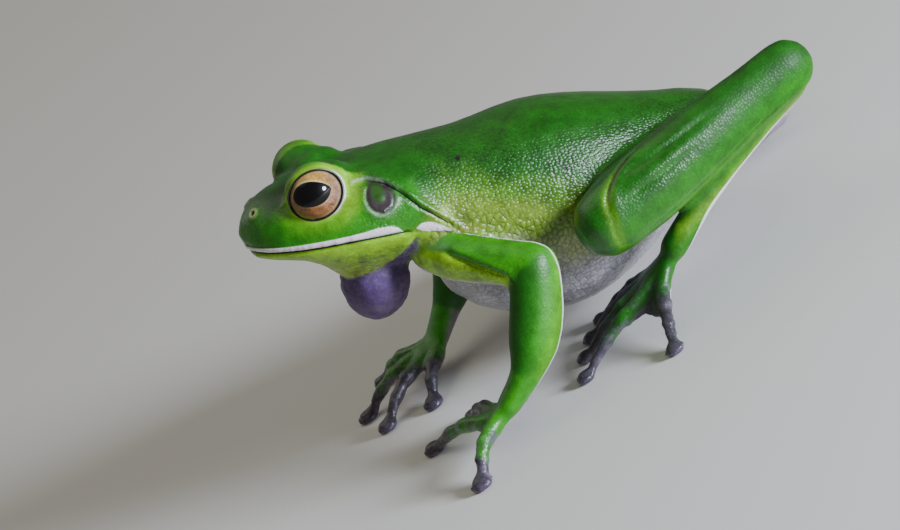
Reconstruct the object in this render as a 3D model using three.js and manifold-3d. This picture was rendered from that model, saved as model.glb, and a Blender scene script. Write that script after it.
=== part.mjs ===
// A male white-lipped tree frog at life size, sitting with its head raised and its vocal sac part filled.
// Millimetres, +Z up. The snout points to -X, the frog's left side to -Y, and it rests on the plane z = 0.
import * as THREE from "three";
import { mergeVertices } from "three/addons/utils/BufferGeometryUtils.js";
import Module from "manifold-3d";

const wasm = await Module();
wasm.setup();

// Along the body, s runs back from the snout tip and t runs up from it, square to s.
const bodyPitch = 20; // degrees that the snout is raised
const snoutTip = new THREE.Vector3(-27.8, 0, 52.3);
const snoutVent = 95;
const gap = 0.3; // between neighbouring parts

const mouth = { halfWidth: 16, length: 24.5 };
const lip = { out: 0.3, jawStep: 0.9 };
const eye = { s: 14.6, out: 8.9, t: 5.2, radius: 5.15, corneaRise: 0.35, gaze: [-0.12, 0.2] };
const lid = { thickness: 0.75, openLength: 10.1, openHeight: 9 };
const brow = { s: 16.9, out: 5.4, t: 4, length: 7, width: 5.5, height: 6 };
const nostril = { s: 3, t: 3.3, rim: 1.15, bore: 0.5, depth: 1.5 };
const eardrum = { s: 25.1, t: 2.9, radius: 2.6, rim: 0.38, dome: 0.35, thickness: 1.2 };
const vocalSac = { s: 21.9, t: -15.9, length: 6.6, width: 8.4, height: 7.8, lean: 14 };
const neckAt = 31.5; // s of the cut between head and torso

// The mouth's line and the height of the pale upper lip, as [s, value].
const mouthEdge = [[0, -3.25], [12, -3.4], [19, -3.5], [24, -3.85], [30, -4.5], [38, -5.2]];
const lipRise = [[0, 0.8], [11, 1.1], [18, 1.25], [23, 1.6], [30, 1.6]];

// Outlines of head and trunk, as [s, value].
const back = [
  [0, 0.4], [0.6, 1.7], [1.6, 3], [3.4, 4.4], [6, 5.7], [9, 6.4], [14, 7.2], [20, 7.8], [28, 8],
  [36, 8.1], [44, 8], [50, 8.7], [55, 9.1], [61, 8.6], [68, 7.1], [75, 5.2], [82, 3.5], [89, 2.1], [95, -1.5],
];
const belly = [
  [27, -8], [30, -13], [34, -21], [40, -26.6], [48, -29.6], [56, -30.6], [63, -29.3], [70, -25.8],
  [77, -20.6], [84, -15.2], [90, -10.6], [95, -5.2],
];
const flank = [
  [27, 16], [33, 16.2], [40, 17], [48, 18.2], [56, 18.6], [63, 18], [70, 16.4], [77, 13.9], [84, 11],
  [90, 7.6], [95, 2.2],
];
const throat = [
  [1, -4.9], [4, -5.9], [8, -6.9], [11, -8.3], [13.5, -10.7], [16, -13.7], [19.5, -14.8], [23.5, -14],
  [28, -13.2], [33, -17], [38, -22.5],
];
const throatFullness = [[1, 2.4], [9, 2.1], [15, 1.6], [22, 1.5], [30, 1.8], [38, 2]];

// Fold of skin from the eye over the eardrum to the shoulder, as [s, t, radius].
const eardrumFold = [
  [20.5, 6.2, 0.7], [24.6, 6.4, 0.95], [28.2, 4.4, 1], [31.6, 0.4, 1], [35.2, -4.2, 0.95], [38.5, -8.4, 0.6],
];

// Limbs, as [x, distance out from the middle, z, half width, half height] from root to end.
// A digit has its knuckle, and the place of its disc on the ground.
const arms = {
  left: {
    stations: [
      [-0.6, 10, 31.8, 4.8, 5.2], [2, 15.8, 29.6, 4.6, 4.8], [6.8, 21.6, 26.8, 4.1, 4.3],
      [12, 26.4, 23.2, 4.6, 4.7], [8.2, 28.6, 17.4, 5, 5], [3.9, 30.8, 13, 4.6, 4.5],
      [-0.4, 32.2, 9.7, 2.9, 2.8], [-6, 32, 6.7, 2.9, 2],
    ],
    digits: [
      { knuckle: [-5.2, 28.4, 5], disc: [-3.6, 17.6] },
      { knuckle: [-7.8, 28.6, 5.3], disc: [-12.4, 11.6] },
      { knuckle: [-9.4, 30.4, 5.5], disc: [-21.6, 13.6] },
      { knuckle: [-10, 33.4, 5.6], disc: [-17.4, 40] },
    ],
  },
  right: {
    stations: [
      [-0.6, 10, 31.8, 4.8, 5.2], [0.4, 15.8, 29.2, 4.6, 4.8], [3.8, 21, 26.6, 4.1, 4.3],
      [8, 25.6, 23.4, 4.6, 4.7], [4, 25.2, 17.6, 5, 5], [-0.6, 23.6, 12.8, 4.6, 4.5],
      [-5.4, 21.8, 9.2, 3, 2.9], [-10.4, 20, 5.8, 3.4, 2.1],
    ],
    digits: [
      { knuckle: [-11.4, 16, 4.8], disc: [-17.6, 5.8] },
      { knuckle: [-14, 17, 5.2], disc: [-27.4, 9.8] },
      { knuckle: [-15.2, 19.6, 5.4], disc: [-29.8, 20] },
      { knuckle: [-14, 22.8, 5], disc: [-24, 31.4] },
    ],
  },
};
const elbow = 3;
const wrist = 6;
const finger = { width: 1.75, taper: 0.72, arch: 1.3, disc: 2.4, discHeight: 1.25, web: 0.5 };

// The left heel is raised off the ground, the right leg is tucked in low.
const legs = {
  left: {
    thigh: [
      [52, 9, 17.6, 6, 6.6], [44, 13.6, 19.4, 6.6, 7], [36, 18.6, 21.8, 6, 6.3], [30.2, 22.8, 23.4, 5, 5.3],
    ],
    shank: [
      [27.5, 28, 22.9, 6.2, 6.6], [38, 26.6, 23.6, 6.6, 7.1], [50, 24.8, 24.4, 6, 6.5],
      [60, 23.2, 24.9, 5, 5.6], [69, 21.8, 25.2, 4.8, 5.3],
    ],
    tarsus: [
      [68.6, 21, 22.2, 3.1, 3.2], [61, 21.6, 20.2, 2.9, 2.9], [50, 23.6, 17.4, 2.8, 2.7],
      [41, 24.8, 13.7, 2.8, 2.5], [34.5, 24.4, 10.4, 3.3, 2.4],
    ],
    digits: [
      { knuckle: [30.4, 18, 6.4], disc: [17.2, 8.6] },
      { knuckle: [28.8, 19.8, 6.7], disc: [13.6, 13.4] },
      { knuckle: [27.6, 22, 6.9], disc: [10.6, 19.6] },
      { knuckle: [27.4, 24.6, 6.9], disc: [8.4, 27.4] },
      { knuckle: [29, 27, 6.6], disc: [23.8, 40] },
    ],
  },
  right: {
    thigh: [
      [52, 9, 16.6, 6, 6.4], [44, 14, 16.2, 6.6, 6.8], [36, 19.6, 16, 6, 6.2], [31, 24, 15.8, 5, 5.3],
    ],
    shank: [
      [29, 29.6, 15, 6.2, 6.6], [38.5, 28.8, 13, 6.6, 7.1], [50, 27.2, 10.2, 6, 6.5],
      [60, 25.4, 8, 5, 5.6], [69, 23.8, 6.4, 4.8, 5.3],
    ],
    tarsus: [
      [68, 18, 5, 3, 3.2], [60, 17.4, 4.5, 2.9, 3], [50, 19, 4.2, 2.8, 2.8],
      [42.5, 21.4, 4.1, 3, 2.6], [36.5, 22.8, 4.1, 3.7, 2.4],
    ],
    digits: [
      { knuckle: [32.4, 18, 3.6], disc: [18.4, 10.6] },
      { knuckle: [31, 19.4, 3.7], disc: [14.2, 15] },
      { knuckle: [30, 21.6, 3.8], disc: [11.2, 21.4] },
      { knuckle: [30.2, 24.2, 3.7], disc: [10.8, 29.4] },
      { knuckle: [31.8, 26.4, 3.6], disc: [22.4, 39] },
    ],
  },
};
const toe = { width: 1.55, taper: 0.7, arch: 0.6, disc: 2.1, discHeight: 1.15, web: 0.66 };
const digitSides = 6;
const webThickness = 0.7;
const discCentre = 0.8; // height of a disc's middle, so that its underside is trimmed flat

const colors = {
  green: 0x4f9c1e, arm: 0x66ad22, sac: 0x9085a0, eye: 0xb08d5c, eardrum: 0x8a7a72, foot: 0x7f7680,
};

const bodyFrame = new THREE.Matrix4()
  .makeRotationY(THREE.MathUtils.degToRad(bodyPitch))
  .setPosition(snoutTip);
const upward = new THREE.Vector3(0, 0, 1);
const { lerp, smoothstep, clamp } = THREE.MathUtils;

// Value at s of the smooth curve through an outline's points.
function along(outline, s) {
  const last = outline.length - 1;
  let i = 0;
  while (i < last - 1 && s > outline[i + 1][0]) i += 1;
  const slope = (j) => {
    const [before, valueBefore] = outline[Math.max(j - 1, 0)];
    const [after, valueAfter] = outline[Math.min(j + 1, last)];
    return (valueAfter - valueBefore) / (after - before);
  };
  const [start, from] = outline[i];
  const [end, to] = outline[i + 1];
  const width = end - start;
  const u = clamp((s - start) / width, 0, 1);
  const rise = u * u * (3 - 2 * u);
  return lerp(from, to, rise) + width * u * (1 - u) * ((1 - u) * slope(i) - u * slope(i + 1));
}

// Closed geometry through rings of equally many points, with a point at each end.
function loft(first, rings, last) {
  const n = rings[0].length;
  const index = [];
  for (let i = 0; i < n; i += 1) {
    const j = (i + 1) % n;
    index.push(0, 1 + j, 1 + i);
    for (let r = 0; r < rings.length - 1; r += 1) {
      const a = 1 + r * n;
      index.push(a + i, a + j, a + n + j, a + i, a + n + j, a + n + i);
    }
    const end = 1 + (rings.length - 1) * n;
    index.push(end + n, end + i, end + j);
  }
  const points = [first, ...rings.flat(), last];
  return new THREE.BufferGeometry().setFromPoints(points).setIndex(index);
}

// Manifold solid of a closed geometry, with its faces turned outwards.
function solidOf(geometry) {
  const bare = geometry.clone();
  bare.deleteAttribute("normal");
  bare.deleteAttribute("uv");
  const merged = mergeVertices(bare, 1e-4);
  const vertProperties = merged.attributes.position.array;
  const triVerts = new Uint32Array(merged.index.array);
  const made = new wasm.Manifold(new wasm.Mesh({ numProp: 3, vertProperties, triVerts }));
  if (made.volume() > 0) return made;
  return new wasm.Manifold(new wasm.Mesh({ numProp: 3, vertProperties, triVerts: triVerts.reverse() }));
}

const join = (solids) => solids.reduce((sum, next) => sum.add(next));
const largest = (solid) => solid.decompose().reduce((a, b) => (b.volume() > a.volume() ? b : a));

function geometryOf(solid) {
  const { numProp, vertProperties, triVerts } = solid.getMesh();
  const geometry = new THREE.BufferGeometry();
  geometry.setAttribute("position", new THREE.BufferAttribute(vertProperties, numProp));
  geometry.setIndex(new THREE.BufferAttribute(triVerts, 1));
  geometry.computeVertexNormals();
  return geometry;
}

// Limb with round ends through stations of [x, out, z, half width, half height] on one side of the frog.
function limb(stations, side, steps, sides, capSteps = 3) {
  const middle = new THREE.CatmullRomCurve3(
    stations.map(([x, out, z]) => new THREE.Vector3(x, side * out, z)), false, "catmullrom");
  const size = new THREE.CatmullRomCurve3(
    stations.map(([, , , width, height]) => new THREE.Vector3(width, height, 0)), false, "catmullrom");
  const ringAt = (u, shift, scale) => {
    const centre = middle.getPoint(u);
    const forward = middle.getTangent(u);
    const across = upward.clone().cross(forward).normalize();
    const top = forward.clone().cross(across);
    const { x: width, y: height } = size.getPoint(u).multiplyScalar(scale);
    centre.addScaledVector(forward, shift);
    return Array.from({ length: sides }, (_, i) => {
      const angle = (2 * Math.PI * i) / sides;
      return centre.clone()
        .addScaledVector(across, width * Math.cos(angle))
        .addScaledVector(top, height * Math.sin(angle));
    });
  };
  const capAt = (u, sense) => {
    const reach = sense * size.getPoint(u).y;
    const rings = [];
    for (let k = 1; k < capSteps; k += 1) {
      const angle = (Math.PI / 2) * (k / capSteps);
      rings.push(ringAt(u, reach * Math.cos(angle), Math.sin(angle)));
    }
    const tip = middle.getPoint(u).addScaledVector(middle.getTangent(u), reach);
    return { tip, rings };
  };
  const start = capAt(0, -1);
  const end = capAt(1, 1);
  const rings = Array.from({ length: steps + 1 }, (_, k) => ringAt(k / steps, 0, 1));
  return solidOf(loft(start.tip, [...start.rings, ...rings, ...end.rings.reverse()], end.tip));
}

function ellipsoid(center, radii, across, down) {
  const geometry = new THREE.SphereGeometry(1, across, down).rotateX(Math.PI / 2);
  return solidOf(geometry.scale(...radii).translate(...center));
}

// Thin upright knife between two points of the ground plane, from the ground up to a height.
function uprightKnife(from, to, height) {
  const length = from.distanceTo(to);
  const geometry = new THREE.BoxGeometry(length + gap, gap, height + gap)
    .translate(length / 2, 0, (height - gap) / 2)
    .rotateZ(Math.atan2(to.y - from.y, to.x - from.x))
    .translate(from.x, from.y, 0);
  return solidOf(geometry);
}

// Square knife across a limb at a point, square to a direction.
function crossKnife(point, direction, size) {
  const turn = new THREE.Quaternion().setFromUnitVectors(upward, direction.clone().normalize());
  const geometry = new THREE.BoxGeometry(size, size, gap).applyQuaternion(turn);
  return solidOf(geometry.translate(point.x, point.y, point.z));
}

// Block that fills the far side of a plane through a point, starting half a gap before it.
function farSide(point, direction, size) {
  const turn = new THREE.Quaternion().setFromUnitVectors(upward, direction.clone().normalize());
  const geometry = new THREE.BoxGeometry(size, size, size).translate(0, 0, (size - gap) / 2);
  return solidOf(geometry.applyQuaternion(turn).translate(point.x, point.y, point.z));
}

// The one piece of a cut solid that holds a point.
function pieceAt(pieces, point) {
  const probe = solidOf(new THREE.OctahedronGeometry(0.4).translate(point.x, point.y, point.z));
  return pieces.find((piece) => piece.intersect(probe).volume() > 0);
}

// Head and trunk.

const mouthHalfWidth = (s) => mouth.halfWidth * Math.sqrt(1 - Math.max(0, 1 - s / mouth.length) ** 2);
const mouthLine = (s) => along(mouthEdge, s);
const lipHeight = (s) => along(lipRise, s);
const intoTrunk = (s) => smoothstep(s, 26, 34);
const arcSteps = 8;
const cheekFullness = 2.1;
const trunkFullness = 2.15;

// Point of a rounded corner, from the side (angle 0) to the middle (angle 90 degrees).
function corner(angle, width, height, fullness) {
  return [
    width * Math.max(Math.cos(angle), 0) ** (2 / fullness),
    height * Math.max(Math.sin(angle), 0) ** (2 / fullness),
  ];
}

// Half section of the head above the mouth, from the middle of the palate out and up to the crown.
function headHalf(s, grow) {
  const width = mouthHalfWidth(s) + grow;
  const base = mouthLine(s);
  const tall = lipHeight(s);
  const crest = along(back, s) + grow;
  const half = [
    [0, base], [0.6 * width, base], [width - lip.out, base], [width, base + 0.25 * tall],
    [width, base + 0.8 * tall], [width - lip.out, base + tall],
  ];
  for (let k = 1; k <= arcSteps; k += 1) {
    const angle = (Math.PI / 2) * (k / arcSteps);
    const [y, rise] = corner(angle, width - lip.out, crest - base - tall, cheekFullness);
    half.push([y, base + tall + rise]);
  }
  return half;
}

// Half section of the trunk, with as many points as the head's.
function trunkHalf(s, grow) {
  const top = along(back, s) + grow;
  const bottom = along(belly, s) - grow;
  const width = along(flank, s) + grow;
  const level = (top + bottom) / 2;
  const lowSteps = 5;
  const half = [];
  for (let k = 0; k <= lowSteps; k += 1) {
    const angle = (Math.PI / 2) * (1 - k / (lowSteps + 0.5));
    const [y, fall] = corner(angle, width, level - bottom, trunkFullness);
    half.push([y, level - fall]);
  }
  for (let k = 1; k <= arcSteps; k += 1) {
    const angle = (Math.PI / 2) * ((k - 0.5) / (arcSteps - 0.5));
    const [y, rise] = corner(angle, width, top - level, trunkFullness);
    half.push([y, level + rise]);
  }
  return half;
}

function bodyHalf(s, grow) {
  if (s < 26) return headHalf(s, grow);
  const blend = intoTrunk(s);
  const head = headHalf(s, grow);
  return trunkHalf(s, grow).map(([y, t], i) => [lerp(head[i][0], y, blend), lerp(head[i][1], t, blend)]);
}

// Whole ring from a half section that starts and ends in the middle.
function ringOf(half, s) {
  const right = half.map(([y, t]) => new THREE.Vector3(s, y, t));
  const left = half.slice(1, -1).reverse().map(([y, t]) => new THREE.Vector3(s, -y, t));
  return [...right, ...left];
}

function bodySolid(grow) {
  const headSteps = 12;
  const trunkSteps = 15;
  const headEnd = 30;
  const places = [];
  for (let i = 1; i <= headSteps; i += 1) places.push(headEnd * (i / headSteps) ** 1.7);
  for (let i = 1; i <= trunkSteps; i += 1) places.push(lerp(headEnd, snoutVent - 0.6, i / trunkSteps));
  const first = new THREE.Vector3(-0.5 - grow, 0, -0.8);
  const last = new THREE.Vector3(snoutVent + 0.6 + grow, 0, -3.5);
  const rings = places.map((s) => ringOf(bodyHalf(s, grow), s));
  return solidOf(loft(first, rings, last).applyMatrix4(bodyFrame));
}

function jawSolid(grow) {
  const throatSteps = 6;
  const steps = 11;
  const rings = [];
  for (let i = 0; i <= steps; i += 1) {
    const s = 1.3 + 36 * (i / steps) ** 1.4;
    const width = mouthHalfWidth(s) - lip.jawStep + grow;
    const base = mouthLine(s);
    const edge = base - 0.8;
    const half = [
      [0, base + 0.9], [0.6 * width, base + 0.9], [width - 0.4, base + 0.7], [width - 0.4, base - 0.1],
    ];
    const depth = edge - along(throat, s) + grow;
    for (let k = 0; k <= throatSteps; k += 1) {
      const angle = (Math.PI / 2) * (k / throatSteps);
      const [y, fall] = corner(angle, width, depth, along(throatFullness, s));
      half.push([y, edge - fall]);
    }
    rings.push(ringOf(half.reverse(), s));
  }
  const first = new THREE.Vector3(0.9 - grow, 0, mouthLine(0) - 0.8);
  const last = new THREE.Vector3(38.2, 0, -12);
  return solidOf(loft(first, rings, last).applyMatrix4(bodyFrame));
}

// Distance out from the middle to the skin of head or trunk, at s and t.
function sideOf(s, t) {
  const cheek = () => {
    const base = mouthLine(s) + lipHeight(s);
    const rise = clamp((t - base) / (along(back, s) - base), 0, 1);
    return (mouthHalfWidth(s) - lip.out) * (1 - rise ** cheekFullness) ** (1 / cheekFullness);
  };
  const trunk = () => {
    const top = along(back, s);
    const bottom = along(belly, s);
    const level = (top + bottom) / 2;
    const rise = clamp(Math.abs(t - level) / (top - level), 0, 1);
    return along(flank, s) * (1 - rise ** trunkFullness) ** (1 / trunkFullness);
  };
  if (s < 26) return cheek();
  return lerp(cheek(), trunk(), intoTrunk(s));
}

// Place and outward direction on the skin of one side, in the body's own frame.
function skinPoint(s, t, side) {
  const step = 0.2;
  const out = sideOf(s, t);
  const slopeS = (sideOf(s + step, t) - sideOf(s - step, t)) / (2 * step);
  const slopeT = (sideOf(s, t + step) - sideOf(s, t - step)) / (2 * step);
  return {
    point: new THREE.Vector3(s, side * out, t),
    normal: new THREE.Vector3(-slopeS, side, -slopeT).normalize(),
  };
}

// Puts a geometry that faces +Z at a point, turned to a direction, in the body's own frame.
function placed(geometry, point, direction) {
  const turn = new THREE.Quaternion().setFromUnitVectors(upward, direction);
  return geometry.applyQuaternion(turn).translate(point.x, point.y, point.z).applyMatrix4(bodyFrame);
}

function foldSolid(side, grow) {
  const stations = eardrumFold.map(([s, t, radius]) => {
    const { point, normal } = skinPoint(s, t, side);
    const { x, y, z } = point.addScaledVector(normal, -0.35 * radius).applyMatrix4(bodyFrame);
    return [x, y, z, radius + grow, radius + grow];
  });
  return limb(stations, 1, 12, 6);
}

const gazeOf = (side) => new THREE.Vector3(eye.gaze[0], side, eye.gaze[1]).normalize();
const eyeCentre = (side) => new THREE.Vector3(eye.s, side * eye.out, eye.t);

function eyeSolid(side) {
  const steps = 10;
  const profile = [];
  for (let k = 0; k <= steps; k += 1) {
    const angle = (Math.PI * k) / steps - Math.PI / 2;
    const front = Math.max(Math.sin(angle), 0);
    const radius = eye.radius + eye.corneaRise * front ** 6;
    profile.push(new THREE.Vector2(Math.max(radius * Math.cos(angle), 0), radius * Math.sin(angle)));
  }
  profile[0].x = 0;
  profile[steps].x = 0;
  const geometry = new THREE.LatheGeometry(profile, 16).rotateX(Math.PI / 2);
  return solidOf(placed(geometry, eyeCentre(side), gazeOf(side)));
}

// What surrounds one eye, and what is cut away for it: the lids are a thin shell over the eyeball.
function eyeSurround(side) {
  const bulge = new THREE.SphereGeometry(1, 12, 8).scale(brow.length, brow.width, brow.height)
    .translate(brow.s, side * brow.out, brow.t)
    .applyMatrix4(bodyFrame);
  const lids = new THREE.SphereGeometry(eye.radius + lid.thickness, 16, 9).rotateX(Math.PI / 2);
  const socket = new THREE.SphereGeometry(eye.radius + gap, 14, 7).rotateX(Math.PI / 2);
  const opening = new THREE.CylinderGeometry(1, 1, 14, 16).rotateX(Math.PI / 2)
    .scale(lid.openLength / 2, lid.openHeight / 2, 1)
    .translate(0, 0, 7);
  const axis = gazeOf(side);
  const alongEye = new THREE.Vector3(1, 0, 0).addScaledVector(axis, -axis.x).normalize();
  const frame = new THREE.Matrix4().makeBasis(alongEye, axis.clone().cross(alongEye), axis);
  const at = (geometry) => solidOf(
    geometry.applyMatrix4(frame).translate(...eyeCentre(side).toArray()).applyMatrix4(bodyFrame));
  return { added: [solidOf(bulge), at(lids)], cut: [at(opening), at(socket)] };
}

function nostrilParts(side) {
  const { point, normal } = skinPoint(nostril.s, nostril.t, side);
  const bump = new THREE.SphereGeometry(nostril.rim, 10, 6).translate(0, 0, -0.35 * nostril.rim);
  const hole = new THREE.CylinderGeometry(nostril.bore, 0.6 * nostril.bore, 2 * nostril.depth, 6)
    .rotateX(Math.PI / 2);
  const at = (geometry) => solidOf(placed(geometry, point, normal));
  return { added: at(bump), cut: at(hole) };
}

function eardrumParts(side) {
  const { point, normal } = skinPoint(eardrum.s, eardrum.t, side);
  const { radius, rim, dome, thickness } = eardrum;
  const sides = 16;
  const ring = new THREE.TorusGeometry(radius + gap + 0.8 * rim, rim, 6, sides).translate(0, 0, -0.25 * rim);
  const recess = new THREE.CylinderGeometry(radius + gap, radius + gap, 2 * thickness, sides)
    .rotateX(Math.PI / 2);
  const floor = gap - thickness;
  const profile = [[0, floor], [radius, floor], [radius, -0.15], [0.6 * radius, 0.6 * dome], [0, dome]];
  const drum = new THREE.LatheGeometry(profile.map(([r, h]) => new THREE.Vector2(r, h)), sides)
    .rotateX(Math.PI / 2);
  const at = (geometry) => solidOf(placed(geometry, point, normal));
  return { added: at(ring), cut: at(recess), drum: at(drum) };
}

// Digits of one hand or foot, with the web between them, joined to what they grow from.

function digitSolid(digit, root, kind, side) {
  const [kx, ky, kz] = digit.knuckle;
  const [dx, dy] = digit.disc;
  const end = [lerp(dx, kx, 0.1), lerp(dy, ky, 0.1), discCentre + 0.7];
  const mid = [lerp(kx, dx, 0.5), lerp(ky, dy, 0.5), lerp(kz, end[2], 0.5) + kind.arch];
  const thin = kind.width * kind.taper;
  const stations = [
    [...root, kind.width, kind.width], [kx, ky, kz, kind.width, kind.width],
    [...mid, 0.86 * kind.width, 0.86 * kind.width], [...end, thin, 0.8 * thin],
  ];
  const pad = ellipsoid([dx, side * dy, discCentre], [kind.disc, kind.disc, kind.discHeight], 10, 5);
  const middle = new THREE.CatmullRomCurve3(
    stations.slice(1).map(([x, out, z]) => new THREE.Vector3(x, side * out, z)), false, "catmullrom");
  return { solid: limb(stations, side, 5, digitSides, 2).add(pad), middle };
}

// Web between the middle lines of two digits, with its free edge drawn in.
function webSolid(a, b, reach) {
  const alongSteps = 3;
  const acrossSteps = 2;
  const top = [];
  const bottom = [];
  for (let j = 0; j <= acrossSteps; j += 1) {
    const v = j / acrossSteps;
    for (let i = 0; i <= alongSteps; i += 1) {
      const u = (i / alongSteps) * reach * (1 - 0.42 * Math.sin(Math.PI * v));
      const point = a.getPoint(u).lerp(b.getPoint(u), v);
      point.z -= 0.5 * Math.sin(Math.PI * v);
      top.push(point.clone().setZ(point.z + webThickness / 2));
      bottom.push(point.clone().setZ(point.z - webThickness / 2));
    }
  }
  const row = alongSteps + 1;
  const count = top.length;
  const index = [];
  for (let j = 0; j < acrossSteps; j += 1) {
    for (let i = 0; i < alongSteps; i += 1) {
      const p = j * row + i;
      index.push(p, p + 1, p + row + 1, p, p + row + 1, p + row);
      const q = count + p;
      index.push(q, q + row + 1, q + 1, q, q + row, q + row + 1);
    }
  }
  const wall = (p, q) => index.push(p, count + p, count + q, p, count + q, q);
  for (let i = 0; i < alongSteps; i += 1) {
    wall(i, i + 1);
    wall(acrossSteps * row + i + 1, acrossSteps * row + i);
  }
  for (let j = 0; j < acrossSteps; j += 1) {
    wall((j + 1) * row, j * row);
    wall(j * row + alongSteps, (j + 1) * row + alongSteps);
  }
  return solidOf(new THREE.BufferGeometry().setFromPoints([...top, ...bottom]).setIndex(index));
}

// A hand or foot with its digits parted off by upright knives across their roots and down each web.
function splayed(stem, root, digits, kind, side, knifeHeight) {
  const made = digits.map((digit) => digitSolid(digit, root, kind, side));
  const webs = made.slice(1).map(({ middle }, i) => webSolid(made[i].middle, middle, kind.web));
  const whole = join([stem, ...made.map(({ solid }) => solid), ...webs]);
  const knuckles = digits.map(({ knuckle: [x, y] }) => new THREE.Vector2(x, side * y));
  const discs = digits.map(({ disc: [x, y] }) => new THREE.Vector2(x, side * y));
  const valleys = knuckles.slice(1).map((point, i) => point.clone().lerp(knuckles[i], 0.5));
  const knives = valleys.map((valley, i) => {
    const beyond = discs[i].clone().lerp(discs[i + 1], 0.5);
    return uprightKnife(valley, beyond, knifeHeight);
  });
  const outer = 4;
  const past = (from, to) => to.clone().add(to.clone().sub(from).setLength(outer));
  const line = [past(valleys[0], knuckles[0]), ...valleys, past(valleys.at(-1), knuckles.at(-1))];
  line.slice(1).forEach((point, i) => knives.push(uprightKnife(line[i], point, knifeHeight)));
  const pieces = whole.subtract(join(knives)).decompose();
  const digitPieces = discs.map(({ x, y }) => pieceAt(pieces, new THREE.Vector3(x, y, discCentre)));
  return { pieces, digitPieces };
}

const ground = solidOf(new THREE.BoxGeometry(400, 400, 60).translate(0, 0, -30));
const body = bodySolid(0);
const jaw = jawSolid(0);
const bodyClear = join([bodySolid(gap), jawSolid(gap), foldSolid(-1, gap), foldSolid(1, gap)]);

const group = new THREE.Group();
function addPart(name, solid, color, roughness) {
  const material = new THREE.MeshStandardMaterial({ color, roughness, metalness: 0 });
  const mesh = new THREE.Mesh(geometryOf(largest(solid.subtract(ground))), material);
  mesh.name = name;
  group.add(mesh);
}

function addHeadAndTrunk() {
  const added = [body, jaw];
  const cut = [];
  for (const side of [-1, 1]) {
    const around = eyeSurround(side);
    const nose = nostrilParts(side);
    const ear = eardrumParts(side);
    added.push(...around.added, nose.added, foldSolid(side, 0), ear.added);
    cut.push(...around.cut, nose.cut, ear.cut);
    const name = side < 0 ? "left" : "right";
    addPart("eye_" + name, eyeSolid(side), colors.eye, 0.1);
    addPart("tympanum_" + name, ear.drum, colors.eardrum, 0.5);
  }
  const flesh = join(added).subtract(join(cut));
  const neck = new THREE.Vector3(neckAt, 0, -8).applyMatrix4(bodyFrame);
  const axis = new THREE.Vector3(1, 0, 0).transformDirection(bodyFrame);
  const pieces = flesh.subtract(crossKnife(neck, axis, 90)).decompose();
  const inHead = new THREE.Vector3(20, 0, 0).applyMatrix4(bodyFrame);
  const inTorso = new THREE.Vector3(60, 0, -10).applyMatrix4(bodyFrame);
  addPart("head", pieceAt(pieces, inHead), colors.green, 0.4);
  addPart("torso", pieceAt(pieces, inTorso), colors.green, 0.4);
  const sac = new THREE.SphereGeometry(1, 18, 12)
    .scale(vocalSac.length, vocalSac.width, vocalSac.height)
    .rotateY(THREE.MathUtils.degToRad(vocalSac.lean))
    .translate(vocalSac.s, 0, vocalSac.t)
    .applyMatrix4(bodyFrame);
  addPart("vocal_sac", solidOf(sac).subtract(bodyClear), colors.sac, 0.5);
}

function addArm(side, name) {
  const { stations, digits } = arms[name];
  const at = (i) => new THREE.Vector3(stations[i][0], side * stations[i][1], stations[i][2]);
  const bend = at(elbow).sub(at(elbow - 1)).normalize().add(at(elbow + 1).sub(at(elbow)).normalize());
  const reach = 60;
  const upper = limb(stations.slice(0, elbow + 1), side, 6, 12)
    .subtract(farSide(at(elbow), bend, reach))
    .subtract(bodyClear);
  const lower = limb(stations.slice(elbow), side, 8, 12)
    .subtract(farSide(at(elbow), bend.clone().negate(), reach))
    .subtract(bodyClear);
  const wristKnife = crossKnife(at(wrist), at(wrist + 1).sub(at(wrist - 1)), 12);
  const pieces = lower.subtract(wristKnife).decompose();
  const palm = pieceAt(pieces, at(wrist + 1));
  const root = stations[wrist + 1].slice(0, 3);
  const hand = splayed(palm, root, digits, finger, side, 9);
  addPart("upper_arm_" + name, upper, colors.arm, 0.4);
  addPart("forearm_" + name, pieceAt(pieces, at(elbow + 1)), colors.arm, 0.4);
  addPart("hand_" + name, pieceAt(hand.pieces, at(wrist + 1)), colors.arm, 0.5);
  hand.digitPieces.forEach((piece, i) => addPart(`finger_${i + 1}_${name}`, piece, colors.foot, 0.5));
}

function addLeg(side, name) {
  const leg = legs[name];
  const shank = limb(leg.shank, side, 9, 14);
  const grown = leg.shank.map(([x, out, z, width, height]) => [x, out, z, width + gap, height + gap]);
  const shankClear = limb(grown, side, 9, 14);
  const thigh = limb(leg.thigh, side, 7, 12).subtract(bodyClear).subtract(shankClear);
  const stem = limb(leg.tarsus, side, 8, 10).subtract(shankClear);
  const last = leg.tarsus.length - 1;
  const at = (i) => new THREE.Vector3(leg.tarsus[i][0], side * leg.tarsus[i][1], leg.tarsus[i][2]);
  const pieces = stem.subtract(crossKnife(at(last - 1), at(last).sub(at(last - 2)), 14)).decompose();
  const foot = splayed(pieceAt(pieces, at(last)), leg.tarsus[last].slice(0, 3), leg.digits, toe, side, 10);
  addPart("thigh_" + name, thigh, colors.green, 0.4);
  addPart("shank_" + name, shank, colors.green, 0.4);
  addPart("tarsus_" + name, pieceAt(pieces, at(2)), colors.green, 0.4);
  addPart("foot_" + name, pieceAt(foot.pieces, at(last)), colors.foot, 0.5);
  foot.digitPieces.forEach((piece, i) => addPart(`toe_${i + 1}_${name}`, piece, colors.foot, 0.5));
}

addHeadAndTrunk();
for (const [side, name] of [[-1, "left"], [1, "right"]]) {
  addArm(side, name);
  addLeg(side, name);
}

// The origin is on the ground below the middle of the whole frog.
const middle = new THREE.Box3().setFromObject(group).getCenter(new THREE.Vector3());
group.position.set(-middle.x, -middle.y, 0);

export default group;
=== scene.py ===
import math
import bmesh
import bpy
import numpy as np
from mathutils import Matrix, Vector, noise
from mathutils.bvhtree import BVHTree


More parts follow.
